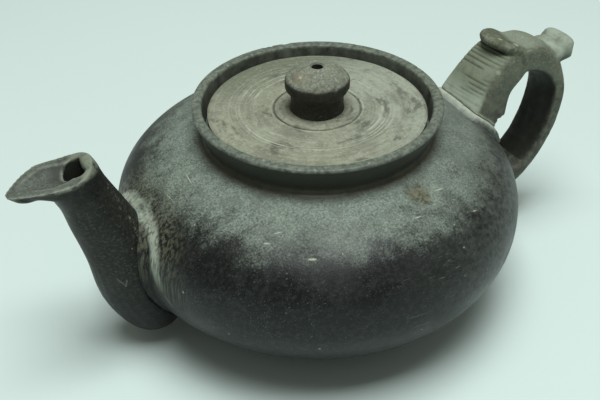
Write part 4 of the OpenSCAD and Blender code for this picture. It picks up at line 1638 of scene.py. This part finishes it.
@dataclass
class Lid:
    """The drop-in lid with its turned rings. Lengths are in metres."""

    peg_hole_r: float = 5.1 * MM
    bevel: float = 0.8 * MM
    rings: tuple[Ring, ...] = (Ring(22.6 * MM, 0.08 * MM, False), Ring(15.6 * MM, 0.5 * MM, True))
    ring_w: float = 0.9 * MM
    line_step: float = 0.6 * MM
    line_d: float = 0.07 * MM
    line_waves: Span = (0.31 * MM, 2.3 * MM)
    wave_d: float = 0.25 * MM
    wave_size: float = 8.0 * MM
    segments: int = 224
    pale_side: Coat = Coat((0.36, 0.40, 0.355), 0.35)
    # Painted shade on the back of the lid, under the collar's far wall.
    painted_back_shade: Coat = Coat((0.115, 0.128, 0.086), 0.8)
    grey_blotches: Coat = Coat((0.165, 0.17, 0.125), 0.6)
    dark_blotches: Coat = Coat((0.07, 0.074, 0.055), 0.7)
    dark_specks: Coat = Coat(
        (0.115, 0.12, 0.082), patches=(Patches(520.0, 0.5, 0.64), Patches(60.0, 0.4, 0.6, 0.15, 0.55))
    )
    pale_specks: Coat = Coat((0.46, 0.48, 0.39), 0.4, (Patches(760.0, 0.55, 0.68),))
    breaks: Patches = Patches(70.0, 0.48, 0.62, 0.1)
    bright_lines: Coat = Coat((0.50, 0.53, 0.45), 0.7)
    faint_lines: Coat = Coat((0.50, 0.52, 0.44), 0.15)
    # Painted shade inside the deep ring's groove.
    painted_groove_shade: Coat = Coat((0.05, 0.05, 0.036), 0.85, (Patches(55.0, 0.40, 0.58, 0.25),))
    # Painted highlight along the outer edge of each ring.
    painted_ring_highlight: Coat = Coat((0.47, 0.49, 0.41), 0.6)

    def __post_init__(self) -> None:
        """Reads the driving sizes from the frame."""
        low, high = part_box("lid_disc")
        self.radius: float = high.x
        self.low_z: float = low.z
        self.top_z: float = high.z

    def _top(self) -> Outline:
        """Outline of the top with its rings and fine turning lines, from the edge inwards."""
        points: Outline = []
        r = self.radius - self.bevel
        fine, coarse = self.line_waves
        while r > self.peg_hole_r:
            sunk = self.line_d * (0.5 + 0.5 * math.sin(r / fine) * math.sin(r / coarse))
            for ring in self.rings:
                sunk = max(sunk, ring.depth * max(0.0, 1.0 - abs(r - ring.radius) / (self.ring_w / 2)))
            points.append((r, self.top_z - sunk))
            close = min(abs(r - ring.radius) for ring in self.rings) < self.ring_w
            r -= self.line_step / 4 if close else self.line_step
        return points + [(self.peg_hole_r, self.top_z)]

    def build(self) -> Piece:
        """Turns the lid.

        Returns:
            The lid.
        """
        bottom = [(self.peg_hole_r, self.low_z), (self.radius - self.bevel, self.low_z),
                  (self.radius, self.low_z + self.bevel), (self.radius, self.top_z - self.bevel)]
        outline = bottom + self._top()
        piece = Bench.turned("drop_in_lid", outline + [outline[0]], self.segments)
        size = self.wave_size
        Bench.carve(piece, self.wave_d, lambda at, up: ripple(at, size, seed=6.0) if up.z > 0.5 else 0.0)
        return piece

    def dress(self, piece: Piece, effects: Effects) -> None:
        """Gives the lid pale stone with dark blotches, painted shade towards the back, and painted highlights
        and shade at its rings.

        Args:
            piece: The lid.
            effects: The shared node groups.
        """
        finish = StoneFinish("pale_stone", PALE_STONE, effects)
        x, y, _ = finish.xyz
        finish.coat(self.pale_side, finish.span(x, -0.2 * self.radius, 0.9 * self.radius))
        # Painted shade, darker towards the back.
        finish.coat(self.painted_back_shade, finish.span(y, 0.3 * self.radius, 0.95 * self.radius))
        finish.coat(self.grey_blotches, finish.ringed(120.0, 60.0, 0.47, 0.63))
        finish.coat(self.dark_blotches, finish.ringed(150.0, 80.0, 0.56, 0.67))
        finish.coat(self.dark_specks)
        finish.coat(self.pale_specks)
        self._paint_rings(finish)
        finish.turn_rings(1100.0, 0.8)
        finish.close(piece)
        Bench.finish(piece, Body.LID, Slot.PALE, ("lid_disc",))

    def _paint_rings(self, finish: StoneFinish) -> None:
        """Paints the fine turning lines, a painted highlight along the rings' outer edges and painted shade
        inside the deep ring's groove.

        Args:
            finish: The finish of the lid.
        """
        broken = finish.patches(self.breaks)
        lines = finish.ringed(1900.0, 18.0, 0.52, 0.64)
        zone = (finish.span(finish.radius, 0.52 * self.radius, 0.6 * self.radius),
                finish.span(finish.radius, 0.8 * self.radius, 0.7 * self.radius))
        finish.coat(self.bright_lines, lines, *zone, broken)
        finish.coat(self.faint_lines, lines)
        for ring in self.rings:
            off = finish.number("SUBTRACT", finish.radius, ring.radius)
            # Painted shade inside the groove.
            if ring.groove_shaded:
                inside = (finish.span(off, -0.55 * MM, -0.2 * MM), finish.span(off, 0.4 * MM, 0.1 * MM))
                finish.coat(self.painted_groove_shade, *inside)
            # Painted highlight just outside the ring.
            edge = (finish.span(off, 0.2 * MM, 0.6 * MM), finish.span(off, 1.4 * MM, 0.9 * MM))
            finish.coat(self.painted_ring_highlight, *edge, broken)


@dataclass
class Knob:
    """The vented knob. Lengths are in metres."""

    height: float = 16.6 * MM
    peg_r: float = 5.0 * MM
    neck_r: float = 9.7 * MM
    waist: float = 0.35 * MM
    neck_steps: int = 8
    cap_edge_h: float = 3.6 * MM
    cap_dome_h: float = 4.9 * MM
    cap_under_h: float = 1.8 * MM
    under_round: Span = (0.6 * MM, 0.45 * MM)
    edge_round: float = 0.7 * MM
    round_steps: int = 4
    dome_steps: int = 20
    vent_r: float = 2.0 * MM
    vent_bevel: float = 0.5 * MM
    segments: int = 160
    wear_d: float = 0.3 * MM
    wear_h: float = 9.0 * MM
    vent_rim: float = 0.8 * MM
    rub_size: float = 6.0 * MM
    chip_size: float = 2.6 * MM
    grey_patches: Coat = Coat((0.10, 0.108, 0.08), 0.6, (Patches(310.0, 0.50, 0.62),))
    olive_patches: Coat = Coat((0.17, 0.172, 0.108), 0.5, (Patches(230.0, 0.48, 0.6),))
    tan: Coat = Coat((0.215, 0.19, 0.125), 0.6)
    tan_at: Vector = mm(-7.6, -1.5, 91.6)
    tan_r: Span = (1.2 * MM, 4.0 * MM)
    pale_patches: Coat = Coat((0.52, 0.55, 0.47), 0.7, (Patches(420.0, 0.58, 0.66),))

    def __post_init__(self) -> None:
        """Reads the driving sizes from the frame."""
        low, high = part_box("lid_knob")
        self.cap_r: float = high.x
        self.low_z: float = low.z
        self.top_z: float = high.z
        self.foot_z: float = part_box("lid_disc")[1].z

    def _dome(self, edge_z: float) -> Outline:
        """Outline of the cap's dome, from its rounded edge to its vent.

        Args:
            edge_z: Height of the edge of the cap.

        Returns:
            The points of the dome.
        """
        dome_r = (self.cap_r ** 2 + self.cap_dome_h ** 2) / (2 * self.cap_dome_h)
        middle = edge_z + self.cap_dome_h - dome_r
        first = math.asin((self.cap_r - self.edge_round) / dome_r)
        last = math.asin((self.vent_r + self.vent_bevel) / dome_r)
        angles = [first + (last - first) * k / self.dome_steps for k in range(self.dome_steps + 1)]
        return [(dome_r * math.sin(a), middle + dome_r * math.cos(a)) for a in angles]

    def outline(self) -> Outline:
        """Outline of the knob, closed round its vent."""
        edge_z = self.foot_z + self.height - self.cap_dome_h
        low_edge, steps, (under_r, under_z) = edge_z - self.cap_edge_h, self.neck_steps, self.under_round
        dome = self._dome(edge_z)
        neck_h = low_edge - self.cap_under_h - self.foot_z
        neck = [
            (self.neck_r - self.waist * math.sin(math.pi * k / steps), self.foot_z + neck_h * k / steps)
            for k in range(steps + 1)
        ]
        under, above = (self.cap_r - under_r, low_edge - under_z), (self.cap_r, low_edge + self.edge_round)
        cap = hollow(under, (self.cap_r, low_edge), above, self.round_steps)
        top = (self.cap_r, edge_z - self.edge_round)
        cap += hollow(top, (self.cap_r, edge_z), dome[0], self.round_steps)[:-1]
        vent = [(self.vent_r, dome[-1][1] - self.vent_bevel), (self.vent_r, self.low_z)]
        points = [(self.peg_r, self.low_z), (self.peg_r, self.foot_z)] + neck + cap + dome + vent
        return points + [points[0]]

    def build(self) -> Piece:
        """Turns the knob and chips its cap."""
        piece = Bench.turned("vented_knob", self.outline(), self.segments)
        Bench.carve(piece, self.wear_d, self._wear)
        return piece

    def _wear(self, at: Vector, up: Vector) -> float:
        """Chips and rubbed places on the cap.

        Args:
            at: A point of the knob.
            up: Its normal, which is not used.

        Returns:
            Share of the wear's depth.
        """
        if at.z < self.top_z - self.wear_h or math.hypot(at.x, at.y) < self.vent_r + self.vent_rim:
            return 0.0
        chip = ease(ripple(at, self.chip_size, seed=5.0), 0.6, 0.85)
        return 0.4 * ripple(at, self.rub_size, seed=2.0) + 0.6 * chip

    def dress(self, piece: Piece, effects: Effects) -> None:
        """Gives the knob mottled stone that is pale on top and dark on its sides.

        Args:
            piece: The knob.
            effects: The shared node groups.
        """
        finish = StoneFinish("knob_stone", KNOB_STONE, effects)
        finish.coat(self.grey_patches, finish.dusty)
        finish.coat(self.olive_patches, finish.dusty)
        finish.coat(self.tan, finish.near(self.tan_at, *self.tan_r))
        finish.coat(self.pale_patches, finish.dusty)
        finish.close(piece)
        Bench.finish(piece, Body.LID, Slot.KNOB, ("lid_knob",))


@dataclass
class Studio:
    """Pale floor, soft light from above and the camera at the photo's angle. Lengths are in metres."""

    image_w: int = 600
    focal_px: float = 977.95
    sensor_w: float = 36.0
    camera_at: Vector = fixed(-0.14213, -0.26456, 0.25803)
    right: Vector = fixed(0.8877, -0.4602, -0.0095)
    up: Vector = fixed(0.2803, 0.5240, 0.8043)
    floor_size: float = 8.0
    floor_tones: tuple[Colour, Colour] = ((0.66, 0.77, 0.745), (0.70, 0.81, 0.79))
    light_at: Vector = fixed(-0.03, -0.15, 1.15)
    light_aim: Vector = fixed(0.0, 0.0, 0.04)
    light_size: float = 0.66
    light_watts: float = 13.1
    light_tone: Colour = (0.945, 1.0, 0.985)
    surround_tone: Colour = (0.93, 0.95, 0.84)
    surround: float = 0.2

    def build(self) -> None:
        """Sets up the floor, the light, the surround, the camera and the view."""
        self._floor()
        self._light()
        self._world()
        self._camera()
        bpy.context.scene.view_settings.view_transform = "Standard"

    def _floor(self) -> None:
        """Adds the pale floor."""
        Bench.clear()
        bpy.ops.mesh.primitive_plane_add(size=self.floor_size, location=ZERO)
        floor = bpy.context.object
        floor.name = "floor"
        material = bpy.data.materials.new("pale_paper")
        material.use_nodes = True
        sheet = Sheet(material.node_tree)
        tone = sheet.blend(sheet.noise(sheet.place, 3.0, detail=3.0, roughness=0.5), *self.floor_tones)
        plugs = {"Base Color": tone, "Roughness": 0.9, "Specular IOR Level": 0.1}
        shader = sheet.add("ShaderNodeBsdfPrincipled", plugs)
        sheet.add("ShaderNodeOutputMaterial", {"Surface": shader.outputs[0]})
        floor.data.materials.append(material)

    def _light(self) -> None:
        """Hangs a soft square light that looks at the kettle."""
        Bench.clear()
        bpy.ops.object.light_add(type="AREA", location=self.light_at)
        light = bpy.context.object
        light.name = "key"
        light.data.size = self.light_size
        light.data.energy = self.light_watts
        light.data.color = self.light_tone
        light.rotation_euler = (self.light_aim - self.light_at).to_track_quat("-Z", "Y").to_euler()

    def _world(self) -> None:
        """Sets an even dim surround."""
        world = bpy.data.worlds.new("surround")
        world.use_nodes = True
        sheet = Sheet(world.node_tree)
        back = sheet.add("ShaderNodeBackground", {"Color": self.surround_tone, "Strength": self.surround})
        sheet.add("ShaderNodeOutputWorld", {"Surface": back.outputs[0]})
        bpy.context.scene.world = world

    def _camera(self) -> None:
        """Adds the camera."""
        Bench.clear()
        bpy.ops.object.camera_add(location=self.camera_at)
        camera = bpy.context.object
        axes = Matrix((self.right, self.up, self.right.cross(self.up))).transposed()
        camera.rotation_euler = axes.to_euler()
        camera.data.sensor_width = self.sensor_w
        camera.data.sensor_fit = "HORIZONTAL"
        camera.data.lens = self.focal_px / self.image_w * self.sensor_w
        camera.data.clip_start = 0.01
        bpy.context.scene.camera = camera


def main() -> None:
    """Builds and dresses each part of the kettle and sets up the studio."""
    logging.basicConfig(level=logging.INFO, format="%(name)s: %(message)s")
    effects = Effects()
    pot, spout, handle = Pot(), Spout(), Handle()
    turned = pot.build()
    spout_pieces = spout.build(turned)
    handle_pieces = handle.build(turned)
    pot.dress(turned, effects)
    spout.dress(spout_pieces, effects)
    handle.dress(handle_pieces, effects)
    for part in (Lid(), Knob()):
        part.dress(part.build(), effects)
    Studio().build()


if __name__ == "__main__":
    main()
